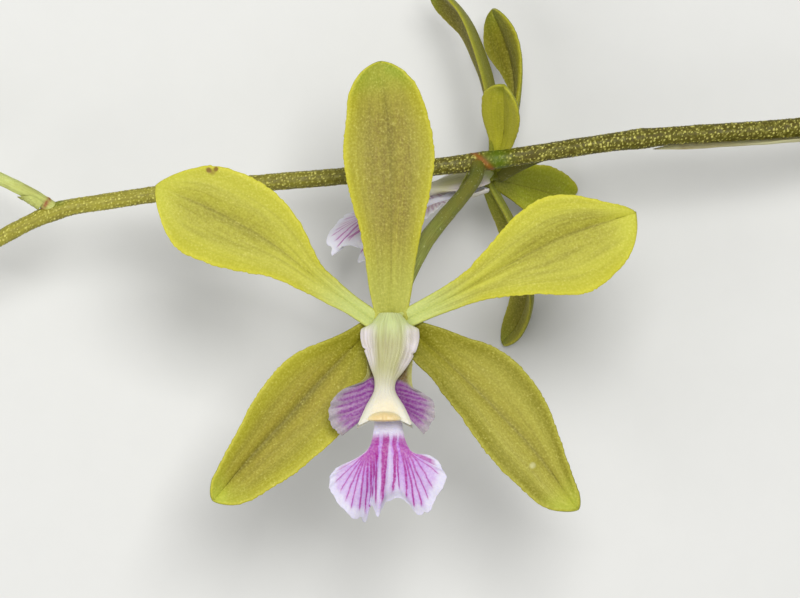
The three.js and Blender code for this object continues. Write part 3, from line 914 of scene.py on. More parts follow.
@dataclass(frozen=True)
class StemFinish(Finish):
    """The stem's olive skin with pale warts and dull purple streaks.

    Attributes:
        skin: The olive ground.
        pale: The lighter ground towards the tip.
        wart: The colour of the warts.
        streak: The dull purple streaks.
        blotch: The lighter olive blotches.
        node: The bright green beside the main node.
        ring: The rusty ring on it.
        cut: The cut end's pith.
    """

    skin: Colour = srgb(78, 73, 8)
    pale: Colour = srgb(150, 144, 52)
    wart: Colour = srgb(212, 206, 108)
    streak: Colour = srgb(72, 56, 24)
    blotch: Colour = srgb(122, 118, 34)
    node: Colour = srgb(84, 108, 6)
    ring: Colour = srgb(142, 82, 24)
    cut: Colour = srgb(196, 200, 132)

    def paint(self, g: Graph) -> None:
        """The stem. Corner values say where each colour lies.

        Args:
            g: The material\'s empty graph.
        """
        along, around, wart = g.value("along"), g.value("around"), g.value("wart")
        at = g.place()
        blotch = g.effect(mottle(), At=at, Scale=520.0)
        lines = g.effect(streaks(), Across=around, Along=along, Density=5.0, Stretch=60.0, Seed=7.0)
        fleck = g.band(g.noise(at, 2600.0, 3.0, 0.6), 0.5, 0.66)
        colour = g.layers(
            self.skin,
            (g.band(along, 0.45, 0.8), self.pale),
            (g.times(lines["Broad"], 0.4), self.streak),
            (g.times(blotch["Fine"], 0.3), self.blotch),
            (g.times(fleck, 0.18), self.wart),
            (g.times(g.band(wart, 0.1, 0.8), g.lerp(fleck, 0.6, 0.95)), self.wart),
            (g.times(g.value("joint"), 0.75), self.node),
            (g.times(g.value("ring"), 0.85), self.ring),
            (g.value("cut"), self.cut),
        )
        normal = g.bump(g.math("ADD", blotch["Fine"], wart), 0.00004, 0.6)
        g.shade(colour, g.lerp(blotch["Broad"], 0.6, 0.42), normal, flesh=0.05)


@dataclass(frozen=True)
class LimbFinish(Finish):
    """The skin of an ovary, pedicel or bud, with fine lines along it and a scar at its foot.

    Attributes:
        foot: The colour at the foot.
        end: The colour at the far end.
        line: The colour of the lines along it.
        scar: The colour of the ring at the foot.
        flush: The colour of the blotches.
        painted_glint: The colour of painted highlights on some of the beads.
    """

    foot: Colour
    end: Colour
    line: Colour
    scar: Colour = srgb(176, 92, 52)
    flush: Colour = srgb(128, 116, 44)
    painted_glint: Colour = srgb(224, 226, 170)

    def paint(self, g: Graph) -> None:
        """The limb. Corner values along, around, seam and scar say where each colour lies.

        Args:
            g: The material\'s empty graph.
        """
        along, around, seam, scar = (g.value(k) for k in ("along", "around", "seam", "scar"))
        at = g.place()
        beads = g.effect(papillae(), At=at, Scale=4600.0)
        blotch = g.effect(mottle(), At=at, Scale=480.0)
        lines = g.effect(streaks(), Across=around, Along=along, Density=5.0, Stretch=3.0, Seed=11.0)
        colour = g.layers(
            self.foot,
            (g.band(along, 0.1, 0.9), self.end),
            (g.times(lines["Fine"], 0.4), self.line),
            (g.times(blotch["Broad"], 0.3), self.flush),
            (g.times(seam, 0.6), self.line),
            (g.times(scar, g.lerp(blotch["Fine"], 0.55, 1.0)), self.scar),
            # Painted highlights on some of the beads.
            (g.times(beads["PaintedGlint"], 0.4), self.painted_glint),
        )
        normal = g.bump(g.math("ADD", beads["Height"], lines["Fine"]), 0.00005, 0.6)
        g.shade(colour, g.lerp(beads["Grain"], 0.62, 0.4), normal, flesh=0.1)


@dataclass(frozen=True)
class ScaleFinish(Finish):
    """A dry papery scale with fine ribs.

    Attributes:
        pale: The straw ground.
        rib: The colour of the ribs and the tip.
    """

    pale: Colour = srgb(206, 204, 156)
    rib: Colour = srgb(150, 132, 88)

    def paint(self, g: Graph) -> None:
        """The scale: straw, with ribs along it and a browner tip.

        Args:
            g: The material\'s empty graph.
        """
        along, across = g.value("along"), g.value("across")
        lines = g.effect(streaks(), Across=across, Along=along, Density=8.0, Stretch=2.0, Seed=5.0)
        blotch = g.effect(mottle(), At=g.place(), Scale=600.0)
        colour = g.mix(g.times(lines["Fine"], 0.5), self.pale, self.rib)
        colour = g.mix(g.times(g.band(along, 0.6, 1.0), blotch["Broad"]), colour, self.rib)
        normal = g.bump(lines["Fine"], 0.00004, 0.7)
        g.shade(colour, g.lerp(blotch["Fine"], 0.7, 0.5), normal, flesh=0.1)


@dataclass(frozen=True)
class AntherFinish(Finish):
    """The waxy tan cap at the end of the column.

    Attributes:
        rim: The pale rim.
        crown: The deeper middle.
    """

    rim: Colour = srgb(218, 206, 166)
    crown: Colour = srgb(206, 182, 128)

    def paint(self, g: Graph) -> None:
        """The cap: tan in the middle and paler towards the rim.

        Args:
            g: The material\'s empty graph.
        """
        beads = g.effect(papillae(), At=g.place(), Scale=6000.0)
        blotch = g.effect(mottle(), At=g.place(), Scale=900.0)
        crown = g.times(g.value("crown"), g.lerp(blotch["Fine"], 0.7, 1.0))
        colour = g.mix(crown, self.rim, self.crown)
        normal = g.bump(beads["Height"], 0.00003, 0.5)
        g.shade(colour, g.lerp(beads["Grain"], 0.45, 0.28), normal, flesh=0.18, gloss=0.35)


@dataclass(frozen=True)
class FloorFinish(Finish):
    """The pale matte surface that the stem lies on.

    Attributes:
        pale: Its colour.
        grain: The colour of its grain.
    """

    pale: Colour = (0.62, 0.62, 0.60)
    grain: Colour = (0.5, 0.5, 0.48)

    def paint(self, g: Graph) -> None:
        """A plain matte floor with the faintest grain.

        Args:
            g: The material\'s empty graph.
        """
        blotch = g.effect(mottle(), At=g.place(), Scale=60.0)
        colour = g.mix(g.times(blotch["Fine"], 0.04), self.pale, self.grain)
        g.shade(colour, 0.85)


class Quality(Enum):
    """How finely an organ is cut: rows along it and columns across or round it."""

    FRONT = (300, 56)
    REAR = (160, 36)
    FAN = (150, 140)
    EAR = (120, 52)
    COLUMN = (200, 120)
    CAP = (48, 64)
    LIMB = (140, 40)
    STEM = (1200, 48)
    SCALE = (90, 24)

    def cut(self, share: float = 1.0) -> tuple[int, int]:
        """The rows and columns, each times a share."""
        return int(self.value[0] * share), int(self.value[1] * share)


def once_round(columns: int) -> Array:
    """A row of even angles, once round from 0, in radians."""
    return (2 * np.pi * np.arange(columns) / columns)[None, :]


def crowded(count: int) -> Array:
    """Stations from -1 to 1 across a blade, closer together near the two edges."""
    return -np.cos(np.pi * np.linspace(0, 1, count))


@dataclass
class Organ:
    """One piece, which stands for the CAD node of its name.

    Attributes:
        name: The piece's name and its CAD node's.
        finish: What it is dressed in.
        slot: The record's material slot. It is not used.
    """

    name: str
    finish: Finish
    slot: str = field(default="", kw_only=True)

    def skin(self) -> Skin:
        """The closed surface in the organ's own frame. Each kind of organ has its own."""
        raise NotImplementedError

    def build(self, place: Array) -> None:
        """Makes the organ, dresses it and lets it stand for its CAD node.

        Args:
            place: The matrix from the organ's own frame to the design frame.
        """
        skin = self.skin().moved(place)
        piece = mesh_object(self.name + "_fine", skin)
        piece.data.materials.append(self.finish.material())
        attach(piece, "root")
        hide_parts(self.name)
        LOG.info("%s: %d triangles", piece.name, len(skin.triangles))


@dataclass
class Tepal(Organ):
    """A sepal or petal: a blade about a spine, with its own half-width to the left and right.

    Attributes:
        spine: The spine's points in the flower's frame.
        left: Half-widths to the left at even stations.
        tip: Where the rounded end begins.
        point: How pointed the end is: 0.5 is a quarter ellipse and 1 is a wedge.
        cup: How far the margins rise, at even stations.
        groove: How deep the midrib lies.
        right: Half-widths to the right. The left ones if left out.
        face: The ways that its upper side looks, along it.
        quality: How finely the blade is cut.
        half_thickness: Half the blade's thickness.
        wave: How far the margins swing up and down.
        marks: Small marks: x, y and radius in the flower's frame, and a sign. A plus is a pale
        raised blister, whose paleness also paints its highlight, and a minus a brown spot.
        seed: Sets the small unevenness.
    """

    spine: Sequence[Sequence[float]]
    left: Sequence[float]
    tip: float
    cup: Sequence[float]
    groove: float
    right: Sequence[float] = ()
    face: Sequence[Sequence[float]] = ((0, 0, 1),)
    slot: str = field(default="tepal", kw_only=True)
    quality: Quality = Quality.FRONT
    half_thickness: float = 0.3
    wave: float = 0.12
    point: float = 0.5
    marks: Sequence[Sequence[float]] = ()
    seed: int = 1

    def skin(self) -> Skin:
        """The closed blade, with the values along, across and mark.

        A point is the spine's point, plus the sideways axis times u times the half-width, plus
        the upward axis times the cup times u squared less the midrib's groove. From the tip
        station on, with t going from 0 to 1, the half-width falls as (1 - t squared) to the
        power of point. Fine crimps run along the margins, and fine ribs along the upper side.

        Returns:
            The closed surface.
        """
        rows, columns = self.quality.cut()
        t = np.linspace(0, 1, rows)
        s = (-0.05 + 1.05 * (1 - (1 - t) ** 1.6))[:, None]
        u = crowded(columns)[None, :]
        path = Path(self.spine)
        length = path.length()
        line = s[:, 0]
        forward = path.forward(np.clip(line, 0, 1))
        up = square_to(through(self.face, np.clip(line, 0, 1)), forward)
        side = np.cross(forward, up)
        end = np.clip(1 - (np.maximum(0, s - self.tip) / (1 - self.tip)) ** 2, 0, 1) ** self.point
        s_in = np.clip(s, 0, 1)
        half = np.where(u < 0, through(self.left, s_in), through(self.right or self.left, s_in)) * end
        edge = np.abs(u)
        arc = s * length + self.seed * 9.7
        crimp = 0.05 * wander(arc, 0.24, self.seed) + 0.03 * wander(arc, 0.6, self.seed + 1)
        other = 0.05 * wander(arc + 31, 0.24, self.seed + 2) + 0.03 * wander(arc + 31, 0.6, self.seed + 3)
        half = half + np.where(u < 0, crimp, other) * edge**6 * end * smooth_step(0.08, 0.3, s)
        swing = np.where(u < 0, wander(arc, 2.6, self.seed + 4), wander(arc + 17, 2.6, self.seed + 5))
        rise = through(self.cup, s_in) * u**2 - self.groove * np.exp(-((u / 0.2) ** 2))
        rise = (rise + self.wave * swing * edge**3 * smooth_step(0.1, 0.5, s)) * end
        p = path.at(line)[:, None] + side[:, None] * (u * half)[..., None] + up[:, None] * rise[..., None]
        thick = self.half_thickness * np.sqrt(np.clip(1 - edge**5, 0, 1)) * (0.35 + 0.65 * end)
        across_mm = u * half + 0.25 * wander(arc, 4.0, self.seed + 6)
        rib = wander(across_mm + 40, 0.5, self.seed + 7) + wander(across_mm + 40, 0.9, self.seed + 8)
        relief = 0.0175 * rib * (1 - edge**4) * end * smooth_step(0.02, 0.2, s)
        mark = np.zeros(p.shape[:2])
        for x, y, size, sign in self.marks:
            mark = mark + sign * np.exp(-(((p[..., 0] - x) ** 2 + (p[..., 1] - y) ** 2) / size**2))
        relief = relief + 0.16 * np.maximum(mark, 0)
        return leaf_skin(p, thick, {"along": s, "across": u, "mark": mark}, relief)


@dataclass
class Lip(Organ):
    """The lip: a claw and waist that open into a ruffled fan, with an ear to either side.

    Attributes:
        claw: The claw's foot: x, y, z and half-width.
        waist: The waist.
        bend: Where the fan begins.
        fan_margin: The fan's free edge from left to right.
        stations: Where claw, waist, bend and margin stand.
        veins: For each vein its u at the waist, its u at the bend, its share of the margin and
            its half-width in millimetres.
        left_root: Where the left side lobe leaves the claw.
        left_margin: The left side lobe's free edge.
        right_root: Where the right side lobe leaves the claw.
        right_margin: The right side lobe's free edge.
        lobe_stations: Where the points of a side lobe's edge stand.
        bulge_out: How far a side lobe bows outwards.
        bulge_up: How far it bows upwards.
        ear_veins: How many veins there would be along the whole of a side lobe.
        half_thickness: Half the sheet's thickness.
        detail: A factor on rows and columns.
    """

    slot: str = field(default="lip", kw_only=True)
    claw: tuple[float, ...] = (0, -0.9, -0.35, 0.9)
    waist: tuple[float, ...] = (-0.15, -9.9, 2.4, 1.3)
    bend: tuple[float, ...] = (-0.1, -11.9, 3.2, 1.95)
    fan_margin: Sequence[Sequence[float]] = (
        (-4.8, -13.5, 2.9), (-5.3, -14.2, 2.8), (-5.45, -15.0, 2.7), (-5.3, -15.7, 2.7), (-4.85, -16.4, 2.85),
        (-4.35, -17.0, 2.9), (-3.75, -17.75, 2.8), (-3.1, -18.1, 2.5), (-2.6, -18.0, 2.3), (-2.2, -18.5, 2.0),
        (-1.85, -17.2, 2.6), (-1.6, -16.95, 2.9), (-1.35, -17.4, 3.1), (-1.05, -17.95, 3.3),
        (-0.75, -17.3, 3.3), (-0.35, -16.6, 3.2), (0.3, -16.35, 3.1), (1.0, -16.3, 3.0), (1.5, -16.65, 3.0),
        (2.0, -17.2, 3.05), (2.6, -17.8, 3.1), (3.2, -17.55, 3.05), (3.65, -17.2, 3.0), (4.1, -16.5, 3.0),
        (4.35, -15.9, 3.1), (4.75, -15.2, 3.0), (5.1, -14.5, 2.95), (4.95, -14.0, 2.95),
        (4.65, -13.6, 3.0), (4.35, -12.95, 3.0), (3.8, -12.5, 3.05), (3.3, -12.3, 3.1),
    )
    stations: Sequence[float] = (0, 0.42, 0.6, 1)
    veins: Sequence[Sequence[float]] = (
        (-0.995, -0.99, -0.935, 0.06), (-0.988, -0.975, -0.84, 0.07), (-0.98, -0.96, -0.74, 0.08),
        (-0.965, -0.94, -0.66, 0.09), (-0.95, -0.92, -0.6, 0.09), (-0.93, -0.89, -0.52, 0.1),
        (-0.9, -0.86, -0.44, 0.11), (-0.87, -0.8, -0.36, 0.12), (-0.83, -0.72, -0.29, 0.14),
        (-0.76, -0.59, -0.205, 0.18),
        (-0.16, -0.185, -0.1, 0.29), (0.47, 0.277, 0.015, 0.16), (0.53, 0.35, 0.08, 0.09),
        (0.8, 0.6, 0.174, 0.13), (0.84, 0.68, 0.25, 0.11), (0.88, 0.75, 0.33, 0.1), (0.91, 0.81, 0.42, 0.1),
        (0.94, 0.87, 0.53, 0.09), (0.97, 0.92, 0.66, 0.08), (0.99, 0.96, 0.8, 0.07),
    )
    left_root: Sequence[Sequence[float]] = (
        (-0.35, -1.2, -0.2), (-0.35, -3.2, 0.35), (-0.4, -5.2, 0.95), (-0.6, -6.5, 1.35), (-1.0, -7.5, 1.75),
        (-1.4, -8.4, 2.1),
    )
    left_margin: Sequence[Sequence[float]] = (
        (-2.45, -1.3, 0.7), (-2.35, -2.4, 0.9), (-2.15, -3.6, 1.2), (-2.1, -5.2, 1.9), (-2.8, -6.0, 2.6),
        (-4.0, -6.4, 2.9), (-4.95, -7.1, 3.1), (-5.5, -8.4, 2.9), (-5.2, -9.8, 2.5), (-4.3, -10.7, 2.4),
    )
    right_root: Sequence[Sequence[float]] = (
        (0.1, -1.2, -0.2), (0.1, -3.3, 0.4), (0.1, -5.6, 1.05), (0.2, -6.7, 1.4), (0.5, -7.5, 1.75),
        (0.9, -8.2, 2.05),
    )
    right_margin: Sequence[Sequence[float]] = (
        (2.45, -1.4, 0.7), (2.35, -2.4, 0.9), (2.1, -3.6, 1.2), (1.95, -5.5, 2.0), (2.15, -6.45, 2.8),
        (2.9, -6.8, 3.2), (3.7, -7.35, 3.5), (4.05, -8.2, 3.4), (3.75, -9.5, 3.0), (3.1, -10.6, 2.7),
    )
    lobe_stations: Sequence[float] = (0, 0.09, 0.19, 0.32, 0.4, 0.49, 0.57, 0.68, 0.84, 1)
    bulge_out: Sequence[float] = (0.3, 0.3, 0.25, 0.05, 0, 0)
    bulge_up: Sequence[float] = (-0.4, -0.4, -0.3, 0, 0.2, 0.1)
    ear_veins: int = 13
    half_thickness: float = 0.14
    detail: float = 1.0

    def lanes(self, s: Array, u: Array, mm_per_u: Array) -> dict[str, Array]:
        """The fan's veins, as a lane number that is whole on each vein.

        A vein stands at u = c at the waist and a at the bend, and from there its share b of the
        margin's place grows as 5.5f / (1.95 + 3.55f), which keeps it straight while the fan
        widens. The gain is a lane's width over its vein's half-width, so the material draws a
        vein where the distance to a whole number, times the gain, is under 1.

        Args:
            s: The station along the lip.
            u: The place across.
            mm_per_u: The sheet's width for one step of u.

        Returns:
            The values lane and gain.
        """
        c, a, b, half = np.asarray(self.veins, float).T[:, :, None, None]
        f = np.clip((s - self.stations[2]) / (1 - self.stations[2]), 0, 1)
        share = 5.5 * f / (1.95 + 3.55 * f)
        here = c + (a - c) * smooth_step(0.44, 0.6, s)
        here = here + (b - here) * share
        step = np.diff(here, axis=0)
        part = np.clip((u - here[:-1]) / step, 0, 1)
        lane = part.sum(0)
        cell = np.clip(lane.astype(int), 0, len(step) - 1)
        gap = np.take_along_axis(np.broadcast_to(step, (len(step), *lane.shape)), cell[None], 0)[0]
        wide = half[:, 0, 0][np.clip(np.round(lane).astype(int), 0, len(half) - 1)]
        wide = wide * (1 - 0.4 * f)
        return {"lane": lane, "gain": gap * mm_per_u / wide}

    def fan(self) -> Skin:
        """The claw, waist and fan as one closed sheet.

        A point runs through claw, waist, bend and margin at their stations, each of the first
        three being its middle plus u times its half-width. The lower margin curls under, and
        small ruffles run along all of it.

        Returns:
            The closed surface.
        """
        rows, columns = Quality.FAN.cut(self.detail)
        s = (1 - (1 - np.linspace(0, 1, rows)) ** 1.25)[:, None]
        even = np.linspace(-1, 1, columns)[None, :]
        u = np.sin(np.pi / 2 * even) * 0.6 + even * 0.4
        margin = through(self.fan_margin, (u[0] + 1) / 2)
        bars = [
            np.stack([x + u[0] * half, 0 * u[0] + y, 0 * u[0] + z], -1)
            for x, y, z, half in (self.claw, self.waist, self.bend)
        ]
        p = through(np.stack([*bars, margin]), s[:, 0], self.stations)
        mm_per_u = np.linalg.norm(np.gradient(p, axis=1), axis=-1) / np.gradient(u[0])[None, :]
        inset = np.linalg.norm(p[-1][None] - p, axis=-1)
        near = smooth_step(0.8, 1.0, s)
        ruffle = 0.14 * wander(u * 10 + 40, 1.0, 31) + 0.07 * wander(u * 30 + 70, 1.0, 32)
        lower = smooth_step(0.5, 0.3, np.abs(u + 0.03)) * smooth_step(0.88, 1.0, s) ** 2
        fold = -0.1 * np.cos(u * 5 * np.pi) * smooth_step(0.5, 0.95, s) * (1 - u**2)
        p = p + np.array([0, 0, 1.0]) * (ruffle * near + fold - 0.5 * lower)[..., None]
        nick = 0.1 * wander(u * 40 + 20, 1.0, 36) + 0.05 * wander(u * 70 + 20, 1.0, 37)
        p = p + unit(p[-1] - p[-2])[None] * (nick * smooth_step(0.9, 1.0, s))[..., None]
        thick = self.half_thickness * (1 - np.abs(u) ** 6) * (1 - 0.55 * smooth_step(0.7, 1, s))
        rim = smooth_step(0.5, 1.25, inset + 0.3 * wander(u * 34 + 90, 1.0, 33))
        sides = smooth_step(1.0, 0.9, np.abs(u)) * smooth_step(0.5, 0.62, s) + smooth_step(0.62, 0.5, s)
        start = smooth_step(0.44, 0.51, s + 0.012 * wander(u * 9 + 30, 1.0, 38))
        outer = smooth_step(0.12, 0.34, np.abs(u + 0.1))
        wash = 0.18 + 0.74 * outer * (1 - 0.6 * smooth_step(0.62, 0.92, s))
        wash = smooth_step(0.45, 0.56, s) * rim * sides * wash
        ink = start * smooth_step(0.4, 1.1, inset + 0.35 * wander(u * 44 + 10, 1.0, 35)) * (0.2 + 0.8 * sides)
        ink = ink * (1 - 0.3 * smooth_step(0.3, 0.8, np.abs(u + 0.1))) * smooth_step(0.985, 0.94, s)
        return leaf_skin(p, thick, {**self.lanes(s, u, mm_per_u), "wash": wash, "ink": ink})

    def ear(self, root: Sequence[Sequence[float]], edge: Sequence[Sequence[float]], seed: int) -> Skin:
        """One side lobe as a closed sheet.

        A point runs straight from the root to the margin, plus a bow of 4a(1 - a) outwards and
        upwards, with a the share of the way across.

        Args:
            root: Where the lobe leaves the claw.
            edge: Its free margin.
            seed: Sets its small ruffles.

        Returns:
            The lobe, with the values that place its veins and colours.
        """
        rows, columns = Quality.EAR.cut(self.detail)
        s = np.linspace(0, 1, rows)[:, None]
        a = ((crowded(columns) + 1) / 2)[None, :]
        start = through(root, s[:, 0])[:, None]
        stop = through(edge, s[:, 0], self.lobe_stations)[:, None]
        bow = 4 * a * (1 - a)
        out = np.sign(stop[..., 0]) * through(self.bulge_out, s)
        lift = through(self.bulge_up, s)
        flare = smooth_step(0.34, 0.44, s)
        ruffle = 0.1 * wander(s * 18 + 5, 1.0, seed) * smooth_step(0.7, 1, a) * flare
        ruffle = ruffle + 0.05 * np.cos(s * 60) * smooth_step(0.3, 0.8, a) * flare
        p = start + (stop - start) * a[..., None]
        p = p + np.stack([out * bow, 0 * bow * s, lift * bow + ruffle], -1)
        nick = (0.08 * wander(s * 34, 1.0, seed + 3) + 0.04 * wander(s * 70, 1.0, seed + 4)) * flare
        p = p + unit(stop - start) * (nick * smooth_step(0.85, 1.0, a))[..., None]
        reach = np.linalg.norm(stop - start, axis=-1)
        inset = reach * (1 - a)
        thick = self.half_thickness * (1 - np.abs(2 * a - 1) ** 6) * (1 - 0.4 * a)
        lane = self.ear_veins * (s - 0.37) + 0.4 * wander(s * 9, 1.0, seed + 5)
        lane = lane + 0.25 * wander(a * 4 + s * 5, 1.0, seed + 6)
        step = np.linalg.norm(np.gradient(p, axis=0), axis=-1) * (rows - 1) / self.ear_veins
        ring = smooth_step(0.3, 1.35, inset + 0.2 * wander(s * 40, 1.0, seed + 2))
        ring = ring * smooth_step(1.0, 0.965, s)
        hem = smooth_step(0.36, 0.42, s)
        values = {
            "lane": lane,
            "gain": step / (0.14 + 0.03 * wander(s * 30, 1.0, seed + 1)),
            "wash": hem * ring * (0.72 - 0.4 * smooth_step(0.45, 0.95, a)),
            "ink": hem * ring * (0.95 - 0.25 * smooth_step(0.5, 0.95, a)),
            "ear": np.ones(1),
            "wall": smooth_step(0.41, 0.37, s),
            "bar": smooth_step(0.55, 0.85, a),
        }
        return leaf_skin(p, thick, values)

    def skin(self) -> Skin:
        """The fan and both side lobes as one piece.

        Returns:
            The closed surface.
        """
        left = self.ear(self.left_root, self.left_margin, 41)
        right = self.ear(self.right_root, self.right_margin, 51)
        return Skin.joined([self.fan(), left, right])


@dataclass
class Column(Organ):
    """The column, which arches over the claw and ends in two wings.

    Attributes:
        path: Its centreline.
        half_width: Half-widths at even stations.
        half_depth: Half-depths at even stations.
        flange: How far a thin flange stands out on either side.
        wing_reach: How far the wings run forward.
        wing_start: Where they begin.
        detail: A factor on rows and columns.
    """

    slot: str = field(default="column", kw_only=True)
    path: Sequence[Sequence[float]] = (
        (0, 0.3, 0.9), (-0.05, -2.8, 1.7), (-0.45, -6.0, 2.7), (-0.45, -8.6, 3.9),
    )
    half_width: Sequence[float] = (0.95, 1.7, 1.85, 1.8, 1.6, 1.3, 0.97, 1.0, 1.75, 2.5)
    half_depth: Sequence[float] = (0.35, 0.55, 0.6, 0.6, 0.58, 0.55, 0.55, 0.65, 0.7, 0.45)
    flange: Sequence[float] = (0.7, 0.75, 0.8, 0.65, 0.4, 0.18, 0, 0, 0, 0)
    wing_reach: float = 1.35
    wing_start: float = 0.72
    detail: float = 1.0

    def skin(self) -> Skin:
        """The column: an oval ring with a thin flange on either side and wings near the end.

        The flange adds its reach times the sixth power of the cosine of the angle. The wings run
        forward by the reach times the square of how far the ring is past their start, times the
        square of the cosine. Fine ribs run along it, and the wings end in small teeth.

        Returns:
            The closed surface.
        """
        rows, columns = Quality.COLUMN.cut(self.detail)
        s = np.linspace(0, 1, rows)[:, None]
        angle = once_round(columns)
        end = np.clip((s - self.wing_start) / (1 - self.wing_start), 0, 1)
        side = np.cos(angle)
        rib = 0.014 * np.cos(angle * 24 + 1.5 * wander(s * 6, 1.0, 61)) * smooth_step(1.0, 0.7, s)
        shoulder = smooth_step(0.09, 0.16, s) * (1 - 0.3 * np.exp(-(((s - 0.375) / 0.012) ** 2)))
        width = through(self.half_width, s) + rib + through(self.flange, s) * shoulder * side**6
        depth = through(self.half_depth, s) + rib - 0.2 * shoulder * smooth_step(0.7, 0.5, s) * side**4
        depth = depth * (1 - 0.25 * end * np.exp(-((side / 0.45) ** 2)))
        teeth = 0.16 * np.cos(angle * 14) * smooth_step(0.7, 0.95, np.abs(side)) * end**3
        reach = self.wing_reach * end**2 * side**2 + teeth
        # A mask of painted shade on the lower side of the wing tips.
        hook = smooth_step(0.8, 1.0, end) * smooth_step(0.9, 0.99, np.abs(side))
        hook = hook * smooth_step(0.3, -0.3, np.sin(angle))
        flank = smooth_step(0.5, 0.95, np.abs(side)) * smooth_step(0.07, 0.2, s)
        values = {
            "along": s,
            "across": np.sin(angle / 2),
            "hook": hook,
            "flank": flank * smooth_step(0.66, 0.45, s),
            "brow": smooth_step(0.7, 0.3, np.abs(side)),
        }
        return limb_skin(Path(self.path), s[:, 0], angle, width, depth, values, reach)


@dataclass
class Cap(Organ):
    """The anther cap, which sits between the column's wings.

    Attributes:
        at: Its middle.
        radii: Its three radii.
    """

    slot: str = field(default="anther", kw_only=True)
    at: tuple[float, float, float] = (-0.5, -9.15, 4.15)
    radii: tuple[float, float, float] = (1.6, 0.72, 0.72)

    def skin(self) -> Skin:
        """The cap: an oval dome with a shallow groove down its middle.

        A point is the middle plus the radii times the point of a unit sphere, whose lower half
        is flattened. Its height is less by a groove about x = 0 and by a dent towards its lower
        edge.

        Returns:
            The closed surface.
        """
        rows, columns = Quality.CAP.cut()
        polar = np.linspace(0.02, np.pi - 0.02, rows)[:, None]
        turn = once_round(columns)
        x, y, z = np.sin(polar) * np.cos(turn), np.sin(polar) * np.sin(turn), np.cos(polar) + 0 * turn
        up = np.clip(z, 0, 1)
        groove = 0.16 * np.exp(-((x / 0.12) ** 2)) * up + 0.1 * smooth_step(-0.2, -0.9, y) * up
        y = np.where(y < 0, y * 0.3, y)
        unit_points = np.stack([x, y, z * (1 - groove)], -1)
        grid = unit_points * np.array(self.radii) * 0.98 + np.array(self.at)
        ends = np.stack([grid[0].mean(0), grid[-1].mean(0)])
        return tube_skin(grid, ends, {"crown": smooth_step(0.2, 0.85, up)})


@dataclass
class Limb(Organ):
    """A pedicel with its ovary, or a bud: a round limb along a path.

    Attributes:
        path: The centreline in the design frame.
        radius: The radius at even stations.
        ribs: How many ridges run along it.
        rib_height: How high they are.
        seams: How many seams part its sepals, for a bud.
        scar: How much of a rusty ring its foot has.
        scar_at: How far from the foot that ring is, in millimetres.
        seed: Sets the small unevenness.
    """

    path: Sequence[Sequence[float]]
    radius: Sequence[float]
    slot: str = field(default="ovary", kw_only=True)
    ribs: int = 6
    rib_height: float = 0.03
    seams: int = 0
    scar: float = 0.0
    scar_at: float = 0.35
    seed: int = 71

    def skin(self) -> Skin:
        """The closed limb: a ring of the radius, with ridges of a cosine of the angle and seams cut in.

        Returns:
            The closed surface.
        """
        rows, columns = Quality.LIMB.cut()
        s = np.linspace(0, 1, rows)[:, None]
        angle = once_round(columns)
        length = Path(self.path).length()
        radius = through(self.radius, s)
        twist = angle + 0.6 * s
        ridge = self.rib_height * np.cos(self.ribs * twist) * smooth_step(0, 0.15, s)
        uneven = 0.02 * wander(s * length, 0.7, self.seed) + 0.015 * np.sin(angle * 2 + 5 * s)
        ring = np.exp(-(((s * length - self.scar_at) / 0.22) ** 2)) * min(self.scar, 1)
        seam = np.zeros((rows, columns))
        if self.seams:
            near = np.abs(np.sin(0.5 * self.seams * (twist + 0.3)))
            seam = np.exp(-((near / 0.12) ** 2)) * smooth_step(0.1, 0.3, s)
        r = radius * (1 + ridge + uneven + 0.1 * ring - 0.09 * seam)
        values = {"along": s, "around": np.sin(angle / 2) * 2, "seam": seam, "scar": self.scar * ring}
        return limb_skin(Path(self.path), s[:, 0], angle, r, r, values)


